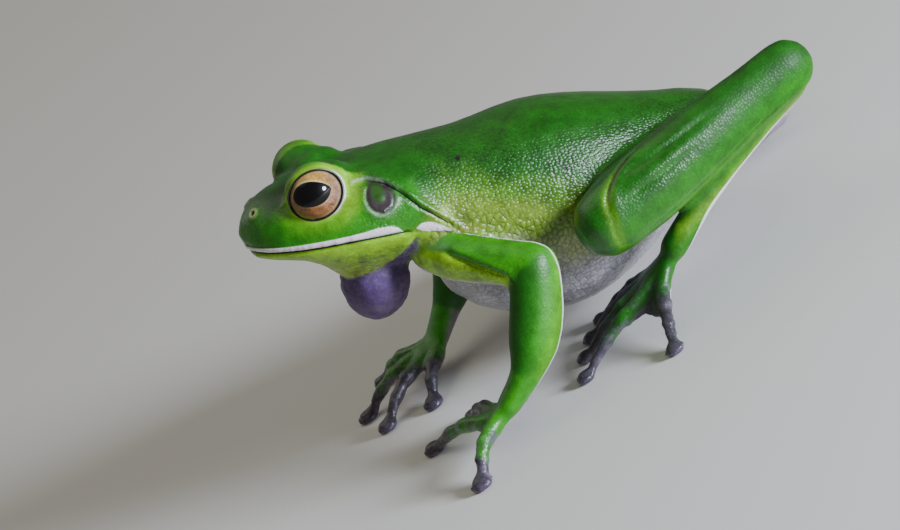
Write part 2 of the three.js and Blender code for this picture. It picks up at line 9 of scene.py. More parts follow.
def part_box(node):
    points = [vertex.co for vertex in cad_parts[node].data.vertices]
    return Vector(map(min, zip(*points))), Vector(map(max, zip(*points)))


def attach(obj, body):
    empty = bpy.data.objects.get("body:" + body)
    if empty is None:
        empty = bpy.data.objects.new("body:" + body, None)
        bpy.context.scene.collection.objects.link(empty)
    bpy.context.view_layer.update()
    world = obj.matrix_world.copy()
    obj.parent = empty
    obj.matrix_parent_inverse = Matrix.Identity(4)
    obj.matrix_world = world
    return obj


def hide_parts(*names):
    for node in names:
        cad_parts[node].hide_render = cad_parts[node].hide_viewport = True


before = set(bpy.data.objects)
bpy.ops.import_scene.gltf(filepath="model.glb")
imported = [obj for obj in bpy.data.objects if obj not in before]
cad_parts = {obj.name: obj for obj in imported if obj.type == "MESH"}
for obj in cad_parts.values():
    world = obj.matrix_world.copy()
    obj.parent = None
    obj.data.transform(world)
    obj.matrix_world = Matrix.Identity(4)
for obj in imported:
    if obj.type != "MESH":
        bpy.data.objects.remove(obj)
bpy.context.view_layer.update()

mm = 0.001
sides = {"left": -1, "right": 1}


# Places: head and trunk are measured along the body, s back from the snout tip and t up from it, in mm

bodyLine = {
    "pitch": math.radians(20),  # the snout is raised
    "snoutFromEye": (-15.5, 0.11),  # snout tip from the eye's centre, in x and z
}


def middleOf(name):
    low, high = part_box(name)
    return np.array((low + high) / 2) / mm


eyeMiddle = {name: middleOf("eye_" + name) for name in sides}
midline = (eyeMiddle["left"][1] + eyeMiddle["right"][1]) / 2
snoutTip = np.array([
    eyeMiddle["left"][0] + bodyLine["snoutFromEye"][0],
    midline,
    eyeMiddle["left"][2] + bodyLine["snoutFromEye"][1],
])


def alongBody(points):
    dx, y, dz = (points - snoutTip).T
    c, s = math.cos(bodyLine["pitch"]), math.sin(bodyLine["pitch"])
    return dx * c - dz * s, dx * s + dz * c, y


def vertsOf(mesh):
    flat = np.empty(len(mesh.vertices) * 3, np.float32)
    mesh.vertices.foreach_get("co", flat)
    return flat.reshape(-1, 3).astype(float) / mm


def normalsOf(mesh):
    flat = np.empty(len(mesh.vertices) * 3, np.float32)
    mesh.vertex_normals.foreach_get("vector", flat)
    return flat.reshape(-1, 3).astype(float)


def edgesOf(mesh):
    flat = np.empty(len(mesh.edges) * 2, np.int32)
    mesh.edges.foreach_get("vertices", flat)
    return flat.reshape(-1, 2)


def setVerts(mesh, points):
    mesh.vertices.foreach_set("co", (points * mm).astype(np.float32).ravel())
    mesh.update()


# 0 at start and 1 at end, smooth between; start may be the higher one
def ease(x, start, end):
    u = np.clip((x - start) / (end - start), 0, 1)
    return u * u * (3 - 2 * u)


def bump(x, middle, width):
    return np.exp(-((x - middle) / width) ** 2)


def table(rows, x):
    return np.interp(x, [row[0] for row in rows], [row[1] for row in rows])


# soft noise about 0, with patches of the given size in mm
def cloudy(points, size, seed):
    return np.array([noise.noise(Vector(p / size) + Vector((seed, 0, 0))) for p in points])


# evens values out between points that share an edge
def spread(values, edges, rounds):
    count = np.bincount(edges.ravel(), minlength=len(values)).clip(1)
    columns = np.atleast_2d(values.T)
    for _ in range(rounds):
        near = np.array([
            np.bincount(edges[:, 0], column[edges[:, 1]], len(column))
            + np.bincount(edges[:, 1], column[edges[:, 0]], len(column))
            for column in columns
        ])
        columns = 0.5 * (columns + near / count)
    return columns.T.reshape(values.shape)


pathReach = 4.0  # mm; further off a path than this, nothing is worked out


# for each point: how far off a path it lies, its share of the way along, and its side, 1 or -1
def fromPath(path, points, normals=None):
    near = np.full(len(points), pathReach)
    share = np.zeros(len(points))
    side = np.ones(len(points))
    inBox = (points > path.min(0) - pathReach) & (points < path.max(0) + pathReach)
    close = np.nonzero(np.all(inBox, axis=1))[0]
    mine = points[close]
    for i, (a, b) in enumerate(zip(path, path[1:])):
        step = b - a
        u = np.clip((mine - a) @ step / (step @ step), 0, 1)
        off = mine - a - u[:, None] * step
        far = np.linalg.norm(off, axis=1)
        closer = far < near[close]
        found = close[closer]
        near[found] = far[closer]
        share[found] = (i + u[closer]) / (len(path) - 1)
        if normals is None:
            side[found] = np.sign(step[0] * off[closer, 1] - step[1] * off[closer, 0])
        else:
            side[found] = np.sign(np.einsum("ij,ij->i", np.cross(step, normals[found]), off[closer]))
    return near, share, side


# a smooth curve through the controls, with a point about every step
def smoothPath(controls, step):
    controls = np.asarray(controls, float)
    whole = np.vstack([2 * controls[0] - controls[1], controls, 2 * controls[-1] - controls[-2]])
    made = []
    for a, b, c, d in zip(whole, whole[1:], whole[2:], whole[3:]):
        count = max(int(np.linalg.norm(c - b) / step), 1)
        for u in np.arange(count) / count:
            made.append(0.5 * (2 * b + (c - a) * u + (2 * a - 5 * b + 4 * c - d) * u ** 2
                               + (3 * b - a - 3 * c + d) * u ** 3))
    return np.array(made + [controls[-1]])


# Skin: the flesh nodes grown until their gaps close, remeshed as one, smoothed, and drawn back to the
# nodes' surface

skin = {
    "grow": 0.22,
    "voxel": 0.68,
    "smoothAll": 4,
    "smoothBody": 22,
    "pullMost": 0.8,  # the furthest that a point is drawn back
    "pullRounds": 7,  # rounds that even this out
    "inside": 0.04,  # how far under the nodes' surface it lies in the end
    "smoothDetail": 2,  # once the mesh is finer at its details
}
softness = {  # how much of smoothBody each kind of part gets
    "torso": 1, "thigh": 1, "shank": 1, "vocal_sac": 1, "upper_arm": 0.8, "forearm": 0.9, "tarsus": 0.5,
    "head": 0.55, "hand": 0.35, "foot": 0.3, "finger": 0.12, "toe": 0.1, "tympanum": 0.2,
}


def kindOf(name):
    return next(kind for kind in softness if name.startswith(kind))


fleshNodes = sorted(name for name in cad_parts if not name.startswith("eye_"))
kindOfNode = np.array([kindOf(name) for name in fleshNodes])


def use(obj):
    bpy.ops.object.select_all(action="DESELECT")
    obj.select_set(True)
    bpy.context.view_layer.objects.active = obj


def applyModifier(obj, kind, **settings):
    made = obj.modifiers.new(kind.lower(), kind)
    for name, value in settings.items():
        setattr(made, name, value)
    use(obj)
    bpy.ops.object.modifier_apply(modifier=made.name)


def gatherFlesh():
    form = bmesh.new()
    part = form.faces.layers.int.new("part")
    for i, name in enumerate(fleshNodes):
        known = len(form.faces)
        form.from_mesh(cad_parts[name].data)
        form.faces.ensure_lookup_table()
        for face in form.faces[known:]:
            face[part] = i
    bmesh.ops.remove_doubles(form, verts=form.verts, dist=1e-3 * mm)
    return form


def keepLargest(obj):
    form = bmesh.new()
    form.from_mesh(obj.data)
    islands = []
    seen = set()
    for start in form.verts:
        if start in seen:
            continue
        island, todo = [], [start]
        seen.add(start)
        while todo:
            vert = todo.pop()
            island.append(vert)
            for edge in vert.link_edges:
                other = edge.other_vert(vert)
                if other not in seen:
                    seen.add(other)
                    todo.append(other)
        islands.append(island)
    islands.sort(key=len)
    for island in islands[:-1]:
        bmesh.ops.delete(form, geom=island, context="VERTS")
    form.to_mesh(obj.data)
    form.free()


# The flesh nodes as one surface, to ask which node is nearest and how far outside it a point is
class Flesh:
    def __init__(self):
        form = gatherFlesh()
        self.tree = BVHTree.FromBMesh(form)
        form.faces.ensure_lookup_table()
        part = form.faces.layers.int["part"]
        self.partOfFace = [face[part] for face in form.faces]
        self.mesh = bpy.data.meshes.new("frog_skin")
        form.to_mesh(self.mesh)
        form.free()

    def near(self, points):
        found = [self.tree.find_nearest(Vector(p * mm)) for p in points]
        part = np.array([self.partOfFace[hit[2]] for hit in found])
        place = np.array([hit[0] for hit in found]) / mm
        normal = np.array([hit[1] for hit in found])
        return part, np.einsum("ij,ij->i", points - place, normal)


flesh = Flesh()


def weigh(obj, name, weights):
    levels = 20
    group = obj.vertex_groups.new(name=name)
    steps = np.round(np.clip(weights, 0, 1) * levels) / levels
    for step in np.unique(steps):
        group.add(np.nonzero(steps == step)[0].tolist(), float(step), "REPLACE")


def remeshSkin():
    obj = bpy.data.objects.new("frog_skin", flesh.mesh)
    bpy.context.scene.collection.objects.link(obj)
    applyModifier(obj, "DISPLACE", strength=skin["grow"] * mm, mid_level=0)
    applyModifier(obj, "REMESH", mode="VOXEL", voxel_size=skin["voxel"] * mm)
    keepLargest(obj)
    print("skin remeshed:", len(obj.data.polygons), "faces")
    part, _ = flesh.near(vertsOf(obj.data))
    weight = np.array([softness[kind] for kind in kindOfNode])[part]
    weigh(obj, "soft", spread(weight, edgesOf(obj.data), 4))
    applyModifier(obj, "SMOOTH", factor=0.5, iterations=skin["smoothAll"])
    applyModifier(obj, "SMOOTH", factor=0.5, iterations=skin["smoothBody"], vertex_group="soft")
    points = vertsOf(obj.data)
    _, outside = flesh.near(points)
    outside = np.clip(outside, -skin["pullMost"], skin["pullMost"])
    outside = spread(outside, edgesOf(obj.data), skin["pullRounds"])
    setVerts(obj.data, points - normalsOf(obj.data) * (outside + skin["inside"])[:, None])
    return obj


# Where the points of the skin are: on which node, and where along the body
class Places:
    def __init__(self, obj):
        self.points = vertsOf(obj.data)
        self.normals = normalsOf(obj.data)
        self.edges = edgesOf(obj.data)
        self.s, self.t, self.y = alongBody(self.points)
        self.flat = np.stack([self.s, self.t], 1)
        self.out = np.abs(self.y)
        self.part, _ = flesh.near(self.points)
        self.kind = kindOfNode[self.part]

    def isPart(self, name):
        return self.part == fleshNodes.index(name)


# Head features, in mm along the body

mouth = {
    "line": [(0, -3.3), (3, -3.38), (12, -3.42), (19, -3.52), (24, -3.92), (28.5, -4.3), (36, -5.4)],
    "lip": [(-1, 0.6), (1, 0.75), (3, 0.9), (11, 1.12), (18, 1.2), (20.5, 1.35), (23, 1.7), (25.3, 1.62),
            (26.7, 1.1), (27.7, 0)],  # how high the pale stripe reaches above the line
    "corner": 29.2,
    "depth": 0.62, "lipRise": 0.16, "lipGroove": 0.14, "jawRise": 0.12,
}
lipPatch = {
    "line": np.array([(30.2, -4.15), (31.4, -4.2), (32.8, -4.55), (34.4, -5.25), (36.0, -6.05)]),
    "half": [(0, 0.3), (0.13, 0.72), (0.4, 0.9), (0.7, 0.6), (1, 0.05)],
    "rise": 0.16,
}
nostril = {"s": 3.0, "out": 3.85, "t": 3.4, "rimRise": 0.16, "depth": 0.75, "openingShadeRadius": 0.42}
eardrum = {"s": 25.1, "t": 2.75, "rimRise": 0.14, "groove": 0.2, "dip": 0.08}
cheekOut = 9  # the sides of the head lie further out than this
eardrumCrease = np.array([
    (21.6, 5.3), (23.5, 5.4), (24.8, 5.2), (26.3, 4.6), (27.6, 3.7), (28.9, 2.5), (30.1, 1.1), (31.4, -0.6),
    (33.3, -2.3), (35.0, -4.0), (36.5, -5.6), (38.2, -7.4),
])
sacCrease = np.array([
    (12.0, -10.8), (14.4, -13.0), (16.5, -13.8), (19.6, -12.9), (22.5, -12.2), (25.5, -10.7), (28.3, -7.6),
    (29.6, -6.2),
])
creaseShape = {  # how deep each is, how far its lip swells, and how far the throat's skin is pleated
    "eardrum": 0.5, "eardrumSwell": 0.2, "sac": 0.34, "sacSwell": 0.2,
    "sacPleats": 0.16, "throatPleats": 0.14,
}
trunkShades = {  # where along the flank the back's green gives way, by s
    "yellowFrom": [(30, -2.5), (38, -0.2), (45, -2.2), (50, -3.8), (57, -6.0), (64, -7.2), (72, -7.4),
                   (95, -6.5)],
    "whiteFrom": [(30, -9), (45, -12.3), (54, -14.6), (60, -15.6), (70, -14.6), (80, -11.5), (95, -8)],
}


def aboveMouth(at):
    return at.t - table(mouth["line"], at.s)


def belowGreen(at):
    return table(trunkShades["yellowFrom"], at.s) - at.t


def fromNostril(at, wide=1.0, high=1.0):
    away = [at.s - nostril["s"], (at.out - nostril["out"]) * wide, (at.t - nostril["t"]) * high]
    return np.linalg.norm(away, axis=0)


def fromEardrum(at):
    return np.hypot(at.s - eardrum["s"], at.t - eardrum["t"])


def fromPlace(at, place):
    return np.linalg.norm(at.points - place, axis=1)


def isKind(at, *kinds):
    return np.isin(at.kind, kinds)


eyeShape = {
    "radius": 5.15,
    "corneaRise": 0.35,
    "gaze": (-0.12, 0.2),  # ahead and up, for one sideways
    "openHalf": (5.12, 4.42),
    "openTilt": math.radians(16),  # the opening's rear end is the higher one
    "lidOver": 0.62,  # how far the lid stands over the eyeball
    "lidReach": 7.6,  # how far from the eye's centre the lids go
    "socket": 0.3,  # how far under the eyeball's surface the skin lies in the opening
    "creases": [(1.32, 0.04), (1.52, 0.05)],  # ring and width of the fine ones in the upper lid
    "creaseDepth": 0.07,
    "whiteMiddle": -14, "whiteSpan": (66, 34),  # the pale crescent behind the opening, in degrees
}


def gazeAxes(side):
    ahead, up = eyeShape["gaze"]
    gaze = Vector((ahead, side, up)).normalized()
    alongLid = (Vector((1, 0, 0)) - gaze * gaze.x).normalized()
    turn = Matrix.Rotation(bodyLine["pitch"], 3, "Y")
    gaze, alongLid = turn @ gaze, turn @ alongLid
    return np.array(alongLid), np.array(gaze.cross(alongLid)) * -side, np.array(gaze)


# 1 on the opening's edge, less within it
def lidRing(a, b):
    c, s = math.cos(eyeShape["openTilt"]), math.sin(eyeShape["openTilt"])
    long, high = eyeShape["openHalf"]
    return np.hypot((a * c + b * s) / long, (b * c - a * s) / high)


def whiteShare(a, b):
    turn = np.degrees(np.arctan2(b, a))
    return ease(np.abs(turn - eyeShape["whiteMiddle"]), *eyeShape["whiteSpan"])


def eyeCentre(name, side):
    # the node's box also holds the cornea's rise, so its middle lies a little out from the eye's centre
    x, y, z = eyeMiddle[name]
    return np.array([x, y - side * eyeShape["corneaRise"] / 2, z])


digitShape = {
    "soleBelow": 0.05,  # the disc's points lower than this are on the floor
    "discEdge": {"finger": 1.75, "toe": 1.5},
    "discGroove": 0.15, "discDome": 0.12,
    # by the share of the way from the disc: the joints' place, width and rise in mm, and where the green ends
    "joints": [(0.62, 0.05, 0.16), (0.36, 0.04, 0.13), (0.5, 0.06, -0.08)],
    "greenTo": {"finger_4": 0.28, "finger_3": 0.42, "toe_4": 0.42, "toe_3": 0.45},
    "greenElse": 0.75,
}


def digitEnds():
    ends = {}
    for name in fleshNodes:
        if kindOf(name) in ("finger", "toe"):
            points = vertsOf(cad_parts[name].data)
            disc = points[points[:, 2] < digitShape["soleBelow"]].mean(0)
            root = points[np.argmax(np.linalg.norm(points - disc, axis=1))]
            ends[name] = (root, disc)
    return ends


digits = digitEnds()


def alongDigit(at, root, disc):
    return (at.points - disc) @ (root - disc) / ((root - disc) @ (root - disc))


def sculptHead(at):
    s = at.s
    outer = ease(np.abs(at.normals[:, 1]) - 0.15 * at.normals[:, 0], 0.0, 0.25)
    d = aboveMouth(at)
    lipTop = table(mouth["lip"], s)
    closing = ease(s, mouth["corner"] + 0.6, mouth["corner"] - 1.8) * outer
    lift = -mouth["depth"] * bump(d, -0.22, 0.24) * closing
    lift += mouth["lipRise"] * ease(d, -0.02, 0.3) * ease(d, lipTop + 0.2, lipTop - 0.2) * closing
    lift -= mouth["lipGroove"] * bump(d, lipTop + 0.25, 0.2) * closing * ease(lipTop, 0.3, 0.7)
    lift += mouth["jawRise"] * bump(d, -1.1, 0.5) * closing
    far = fromNostril(at)
    lift += nostril["rimRise"] * bump(far, 0.95, 0.3) - nostril["depth"] * ease(far, 0.62, 0.2)
    ring = fromEardrum(at)
    drum = eardrum["rimRise"] * bump(ring, 3.0, 0.35) - eardrum["groove"] * bump(ring, 2.45, 0.25)
    drum = drum - eardrum["dip"] * bump(ring, 0.9, 0.6)
    lift += (at.out > cheekOut) * ease(s, 31, 28.5) * drum
    near, share, side = fromPath(eardrumCrease, at.flat)
    flank = ease(at.out, 7, 10) * ease(share, 0.0, 0.1)
    crease = creaseShape["eardrumSwell"] * bump(near * side, 0.75, 0.5)
    crease = crease - creaseShape["eardrum"] * bump(near * side, 0.0, 0.34)
    lift += flank * crease * ease(share, 1.0, 0.85)
    near, share, _ = fromPath(lipPatch["line"], at.flat)
    edge = table(lipPatch["half"], share) + 0.3
    return lift + lipPatch["rise"] * (at.out > cheekOut) * ease(near, edge, 0.1)


def sculptSac(at):
    s, t, y = at.s, at.t, at.y
    near, share, side = fromPath(sacCrease, at.flat)
    low = ease(at.normals[:, 2], 0.5, 0.2) * ease(s, 30.5, 29)
    crease = creaseShape["sacSwell"] * bump(near * side, 0.9, 0.7)
    crease = crease - creaseShape["sac"] * bump(near * side, -0.05, 0.4)
    lift = low * crease * ease(share, 0, 0.12)
    isSac = spread(isKind(at, "vocal_sac").astype(float), at.edges, 4)
    pleats = cloudy(np.stack([s * 0.8, y * 0.5, t * 1.6], 1), 1.1, 3)
    lift += isSac * creaseShape["sacPleats"] * pleats
    jaw = ease(aboveMouth(at), -2.0, -4.5) * ease(s, 33, 29) * ease(s, 8, 12) * (1 - isSac)
    pleats = cloudy(np.stack([s * 0.5, y * 0.6, t * 1.4], 1), 1.2, 9)
    return lift + jaw * creaseShape["throatPleats"] * pleats


# The lids are drawn to a shell over the eyeball, and the skin within the opening goes under it
def sculptLids(at):
    points = at.points
    for name, side in sides.items():
        alongLid, upLid, gaze = gazeAxes(side)
        off = points - eyeCentre(name, side)
        far = np.linalg.norm(off, axis=1)
        a, b, g = off @ alongLid, off @ upLid, off @ gaze
        ring = lidRing(a, b)
        facing = np.einsum("ij,ij->i", at.normals, off) / far.clip(0.1)
        outer = ease(facing, -0.25, 0.35)
        lid = eyeShape["radius"] - 0.05 + eyeShape["lidOver"] * ease(ring, 1.03, 1.2)
        socket = eyeShape["radius"] - eyeShape["socket"]
        lid = np.where(ring < 1.0, socket, lid)
        hold = (g > -0.5) & (far < eyeShape["lidReach"])
        moved = ease(ring, 1.6, 1.15) * hold * outer * (lid - far)
        moved += hold * (g > 0) * (ring < 1.35) * (1 - outer) * (socket - far)
        creases = sum(bump(ring, place, width) for place, width in eyeShape["creases"])
        moved -= hold * outer * eyeShape["creaseDepth"] * creases * ease(b, 0.5, 3)
        points += off / far[:, None] * moved[:, None]


# Limbs: a place on one is its share of the way along it, and the angle round it from above to the outside

limbFrom = {
    "upper_arm": "torso", "forearm": "upper_arm", "hand": "forearm", "finger_4": "hand",
    "thigh": "torso", "shank": "thigh", "tarsus": "shank", "foot": "tarsus", "toe_5": "foot",
}


# a limb's start, axis, length, and the directions across it: up and to the body's outside
def limbFrame(kind, sideName):
    points = vertsOf(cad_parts[kind + "_" + sideName].data)
    before = limbFrom[kind] if limbFrom[kind] == "torso" else limbFrom[kind] + "_" + sideName
    before = vertsOf(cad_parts[before].data)
    centre = points.mean(0)
    axis = np.linalg.svd(points - centre, full_matrices=False)[2][0]
    reach = (points - centre) @ axis
    start, end = centre + axis * reach.min(), centre + axis * reach.max()
    if np.linalg.norm(before - end, axis=1).min() < np.linalg.norm(before - start, axis=1).min():
        start, end = end, start
    length = np.linalg.norm(end - start)
    axis = (end - start) / length
    up = np.array([0, 0, 1]) - axis * axis[2]
    up /= np.linalg.norm(up)
    return start, axis, length, up, np.cross(axis, up) * sides[sideName]


def limbPlace(at, kind, sideName):
    start, axis, length, up, out = limbFrame(kind, sideName)
    off = at.points - start
    share = off @ axis / length
    off = off - (off @ axis)[:, None] * axis
    return share, np.degrees(np.arctan2(off @ out, off @ up)), np.linalg.norm(off, axis=1), length


# A line on the skin through the stops on each part: a share of the way along it and an angle round it
def limbLine(at, stops, sideName, skinTree):
    step, rounds = 0.5, 4
    controls = []
    for kind, places in stops.items():
        ownShare, ownAngle, radius, length = limbPlace(at, kind, sideName)
        mine = at.isPart(kind + "_" + sideName)
        for share, angle in places:
            turn = np.radians((ownAngle - angle + 180) % 360 - 180)
            miss = ((ownShare - share) * length) ** 2 + (turn * radius) ** 2
            controls.append(at.points[np.argmin(np.where(mine, miss, np.inf))])
    path = smoothPath(controls, step)
    for _ in range(rounds):
        path = np.array([skinTree.find_nearest(Vector(p * mm))[0] for p in path]) / mm
        path[1:-1] = (path[:-2] + path[1:-1] + path[2:]) / 3
    return path


# Folds: depth and swell in mm; dark is half the width of the line of painted shade drawn in the crease, which
# shows only above 0
limbFolds = {
    "knee": {  # where the calf starts, over the knee and down its outer side
        "stops": {"shank": [(0.36, 0), (0.28, -6), (0.2, -19), (0.14, -40), (0.12, -55), (0.11, -75),
                            (0.1, -95), (0.09, -125)]},
        "depth": [(0, 0), (0.15, 0.5), (0.55, 0.55), (0.7, 0.2), (1, 0.05)], "width": 0.5, "swell": 0.3,
        "dark": [(0, -0.3), (0.1, 0.0), (0.3, 0.05), (0.6, 0.03), (0.7, -0.3), (1, -0.3)],
    },
    "armpit": {  # between the arm and the loose skin under it
        "stops": {"upper_arm": [(0.34, -44), (0.41, -53), (0.47, -61), (0.53, -69), (0.58, -77),
                                (0.63, -84), (0.71, -95), (0.76, -100)]},
        "depth": [(0, 0), (0.3, 0.6), (0.7, 0.95), (1, 0.5)], "width": 0.5, "swell": 0.35,
        "dark": [(0, -0.2), (0.15, 0.05), (0.5, 0.1), (1, 0.16)],
    },
    "shin": {  # along the outer side, between the muscles
        "stops": {"shank": [(0.2, -22), (0.33, -36), (0.48, -42), (0.64, -44)]},
        "depth": [(0, 0), (0.2, 0.42), (0.7, 0.34), (1, 0)], "width": 0.8, "swell": 0.1,
        "dark": [(0, -0.3), (1, -0.3)],
    },
    "shinLow": {  # a shorter one below it
        "stops": {"shank": [(0.17, -60), (0.26, -66), (0.38, -70), (0.5, -70)]},
        "depth": [(0, 0), (0.2, 0.36), (0.7, 0.3), (1, 0)], "width": 0.7, "swell": 0.1,
        "dark": [(0, -0.3), (1, -0.3)],
    },
    "calf": {  # under the calf, above the folded tarsus
        "stops": {"shank": [(0.16, -128), (0.35, -132), (0.6, -134), (0.85, -132)]},
        "depth": [(0, 0), (0.2, 0.22), (0.8, 0.22), (1, 0)], "width": 0.4, "swell": 0.0,
        "dark": [(0, -0.3), (0.2, 0.02), (0.8, 0.02), (1, -0.3)],
    },
}
# Pale fringes: half is half the width, rise how far they stand up
fringes = {
    "arm": {
        "stops": {"upper_arm": [(0.42, 18), (0.6, 16), (0.78, 14), (0.93, 12)],
                  "forearm": [(0.12, 124), (0.3, 128), (0.5, 130), (0.7, 132), (0.92, 134)],
                  "hand": [(0.3, 138), (0.7, 132)], "finger_4": [(0.2, 112), (0.5, 112), (0.8, 112)]},
        "half": [(0, 0.1), (0.08, 0.24), (0.3, 0.3), (0.75, 0.3), (1, 0.1)], "rise": 0.22,
    },
    "lobe": {
        "stops": {"upper_arm": [(0.12, -112), (0.25, -122), (0.4, -132), (0.55, -138), (0.7, -136)]},
        "half": [(0, -0.1), (0.15, 0.14), (0.7, 0.2), (1, -0.1)], "rise": 0.14,
    },
    "leg": {
        "stops": {"shank": [(0.97, 150)], "tarsus": [(0.08, 142), (0.3, 136), (0.6, 134), (0.92, 136)],
                  "foot": [(0.4, 140), (0.8, 126)], "toe_5": [(0.2, 92), (0.55, 92), (0.85, 92)]},
        "half": [(0, 0.2), (0.1, 0.42), (0.45, 0.5), (0.6, 0.4), (1, 0.12)], "rise": 0.18,
    },
}
limbLines = [*limbFolds.values(), *fringes.values()]
armCrease = 1.6  # how deep the arm's root meets the trunk


def findLines(obj):
    at = Places(obj)
    faces = [face.vertices for face in obj.data.polygons]
    skinTree = BVHTree.FromPolygons([Vector(p * mm) for p in at.points], faces)
    for line in limbLines:
        for sideName in sides:
            line[sideName] = limbLine(at, line["stops"], sideName, skinTree)


detail = {  # the skin's mesh is made finer this near, in mm, to a feature
    "nostril": 1.8, "eardrum": 3.8, "disc": 2.3, "crease": 1.3, "limbLine": 0.9,
    "belowMouth": 1.1, "aboveLip": 0.7,
    "patchMiddle": (33, -4.9), "patchHalf": (3.6, 2.2),
    "flankFrom": (36, 70), "flankBelowGreen": (1, 9.5),
}


def detailAreas(at):
    s, t, out = at.s, at.t, at.out
    wanted = np.zeros(len(at.points), bool)
    for name, side in sides.items():
        wanted |= fromPlace(at, eyeCentre(name, side)) < eyeShape["lidReach"]
    d = aboveMouth(at)
    wanted |= (d > -detail["belowMouth"]) & (d < table(mouth["lip"], s) + detail["aboveLip"]) & (s < 30)
    inPatch = np.abs(at.flat - detail["patchMiddle"]) < detail["patchHalf"]
    wanted |= inPatch.all(axis=1) & (out > 10)
    nearS, nearT = np.abs(s - nostril["s"]), np.abs(t - nostril["t"])
    wanted |= (nearS < detail["nostril"]) & (nearT < detail["nostril"]) & (out < 7)
    wanted |= (fromEardrum(at) < detail["eardrum"]) & (out > cheekOut)
    for _, disc in digits.values():
        wanted |= fromPlace(at, disc) < detail["disc"]
    wanted |= (fromPath(eardrumCrease, at.flat)[0] < detail["crease"]) & (out > 8)
    wanted |= (fromPath(sacCrease, at.flat)[0] < detail["crease"]) & (at.normals[:, 2] < 0.4) & (s < 30)
    for line in limbLines:
        for sideName in sides:
            wanted |= fromPath(line[sideName], at.points)[0] < detail["limbLine"]
    low = belowGreen(at)
    first, last = detail["flankFrom"]
    upper, lower = detail["flankBelowGreen"]
    flank = isKind(at, "torso") & (s > first) & (s < last) & (at.normals[:, 2] > -0.5)
    return wanted | flank & (low > upper) & (low < lower)


def refineDetail(obj):
    wanted = detailAreas(Places(obj))
    form = bmesh.new()
    form.from_mesh(obj.data)
    form.verts.ensure_lookup_table()
    chosen = [e for e in form.edges if wanted[e.verts[0].index] and wanted[e.verts[1].index]]
    bmesh.ops.subdivide_edges(form, edges=chosen, cuts=1, use_grid_fill=True)
    bmesh.ops.triangulate(form, faces=form.faces)
    form.to_mesh(obj.data)
    form.free()
    print("detail refined:", len(obj.data.polygons), "faces")


def sculptLimbs(at):
    lift = np.zeros(len(at.points))
    for sideName, sideSign in sides.items():
        for fold in limbFolds.values():
            near, share, side = fromPath(fold[sideName], at.points, at.normals)
            depth = table(fold["depth"], share)
            lift -= depth * bump(near, 0, fold["width"])
            lift += fold["swell"] * ease(depth, 0, 0.4) * bump(near * side * sideSign, 1.3, 0.8)
        for fringe in fringes.values():
            near, share, _ = fromPath(fringe[sideName], at.points)
            half = table(fringe["half"], share)
            lift += fringe["rise"] * ease(half, 0, 0.25) * bump(near, 0, 0.45)
        arm = at.isPart("upper_arm_" + sideName).astype(float)
        trunk = isKind(at, "torso", "head").astype(float)
        lift -= armCrease * spread(arm, at.edges, 3) * spread(trunk, at.edges, 3)
    return lift


def sculptDigits(at):
    lift = np.zeros(len(at.points))
    top = ease(at.normals[:, 2], 0.0, 0.4)
    for name, (root, disc) in digits.items():
        mine = at.isPart(name)
        ring = np.linalg.norm((at.points - disc)[:, :2], axis=1)
        edge = digitShape["discEdge"][kindOf(name)]
        lift -= mine * top * digitShape["discGroove"] * bump(ring, edge, 0.22)
        lift += mine * top * digitShape["discDome"] * ease(ring, edge, 0.3)
        u = alongDigit(at, root, disc)
        lift += mine * sum(rise * bump(u, place, width) for place, width, rise in digitShape["joints"])
    return lift


def sculptSkin(obj):
    at = Places(obj)
    sculptLids(at)
    lift = sculptHead(at) + sculptSac(at) + sculptLimbs(at) + sculptDigits(at)
    points = at.points + at.normals * lift[:, None]
    points[:, 2] = np.maximum(points[:, 2], 0)
    setVerts(obj.data, points)
    print("skin sculpted")


# Flat cobbles of the flank and belly, pressed into the mesh by the same pattern that the material draws

cobbles = {  # seam is how dark the seams are, and relief how high the cobbles stand in the bump
    "across": 1.22, "randomness": 0.85, "groove": 0.2, "depth": 0.13, "domeTo": 0.3,
    "seam": 0.5, "seamColour": "#9c9c86", "relief": 0.14,
}


def cobbleCells(tree, place):
    return addNode(tree, "ShaderNodeTexVoronoi", {"feature": "DISTANCE_TO_EDGE"},
                   {"Vector": place, "Scale": 1 / (cobbles["across"] * mm),
                    "Randomness": cobbles["randomness"]})


def pressCobbles(obj):
    tree = bpy.data.node_groups.new("cobbles", "GeometryNodeTree")
    for inOut in ("INPUT", "OUTPUT"):
        tree.interface.new_socket("Geometry", in_out=inOut, socket_type="NodeSocketGeometry")
    given = addNode(tree, "NodeGroupInput")
    place = addNode(tree, "GeometryNodeInputPosition")
    normal = addNode(tree, "GeometryNodeInputNormal")
    share = addNode(tree, "GeometryNodeInputNamedAttribute", {"data_type": "FLOAT"}, {"Name": "cobble"})
    dome = addNode(tree, "ShaderNodeMapRange", {"interpolation_type": "SMOOTHSTEP"},
                   {"Value": cobbleCells(tree, place), "From Min": 0.0, "From Max": cobbles["domeTo"],
                    "To Min": -cobbles["depth"] * mm, "To Max": 0.0})
    height = addNode(tree, "ShaderNodeMath", {"operation": "MULTIPLY"}, {0: dome, 1: share})
    shift = addNode(tree, "ShaderNodeVectorMath", {"operation": "SCALE"}, {0: normal, "Scale": height})
    moved = addNode(tree, "GeometryNodeSetPosition", None, {"Geometry": given, "Offset": shift})
    addNode(tree, "NodeGroupOutput", None, {"Geometry": moved})
    applyModifier(obj, "NODES", node_group=tree)
    print("cobbles pressed")


# Colour of the skin, painted by place; crisp marks are kept as distances in mm that the material cuts

def linear(code):
    channels = [int(code[i:i + 2], 16) / 255 for i in (1, 3, 5)]
    return np.array([c / 12.92 if c <= 0.04045 else ((c + 0.055) / 1.055) ** 2.4 for c in channels])


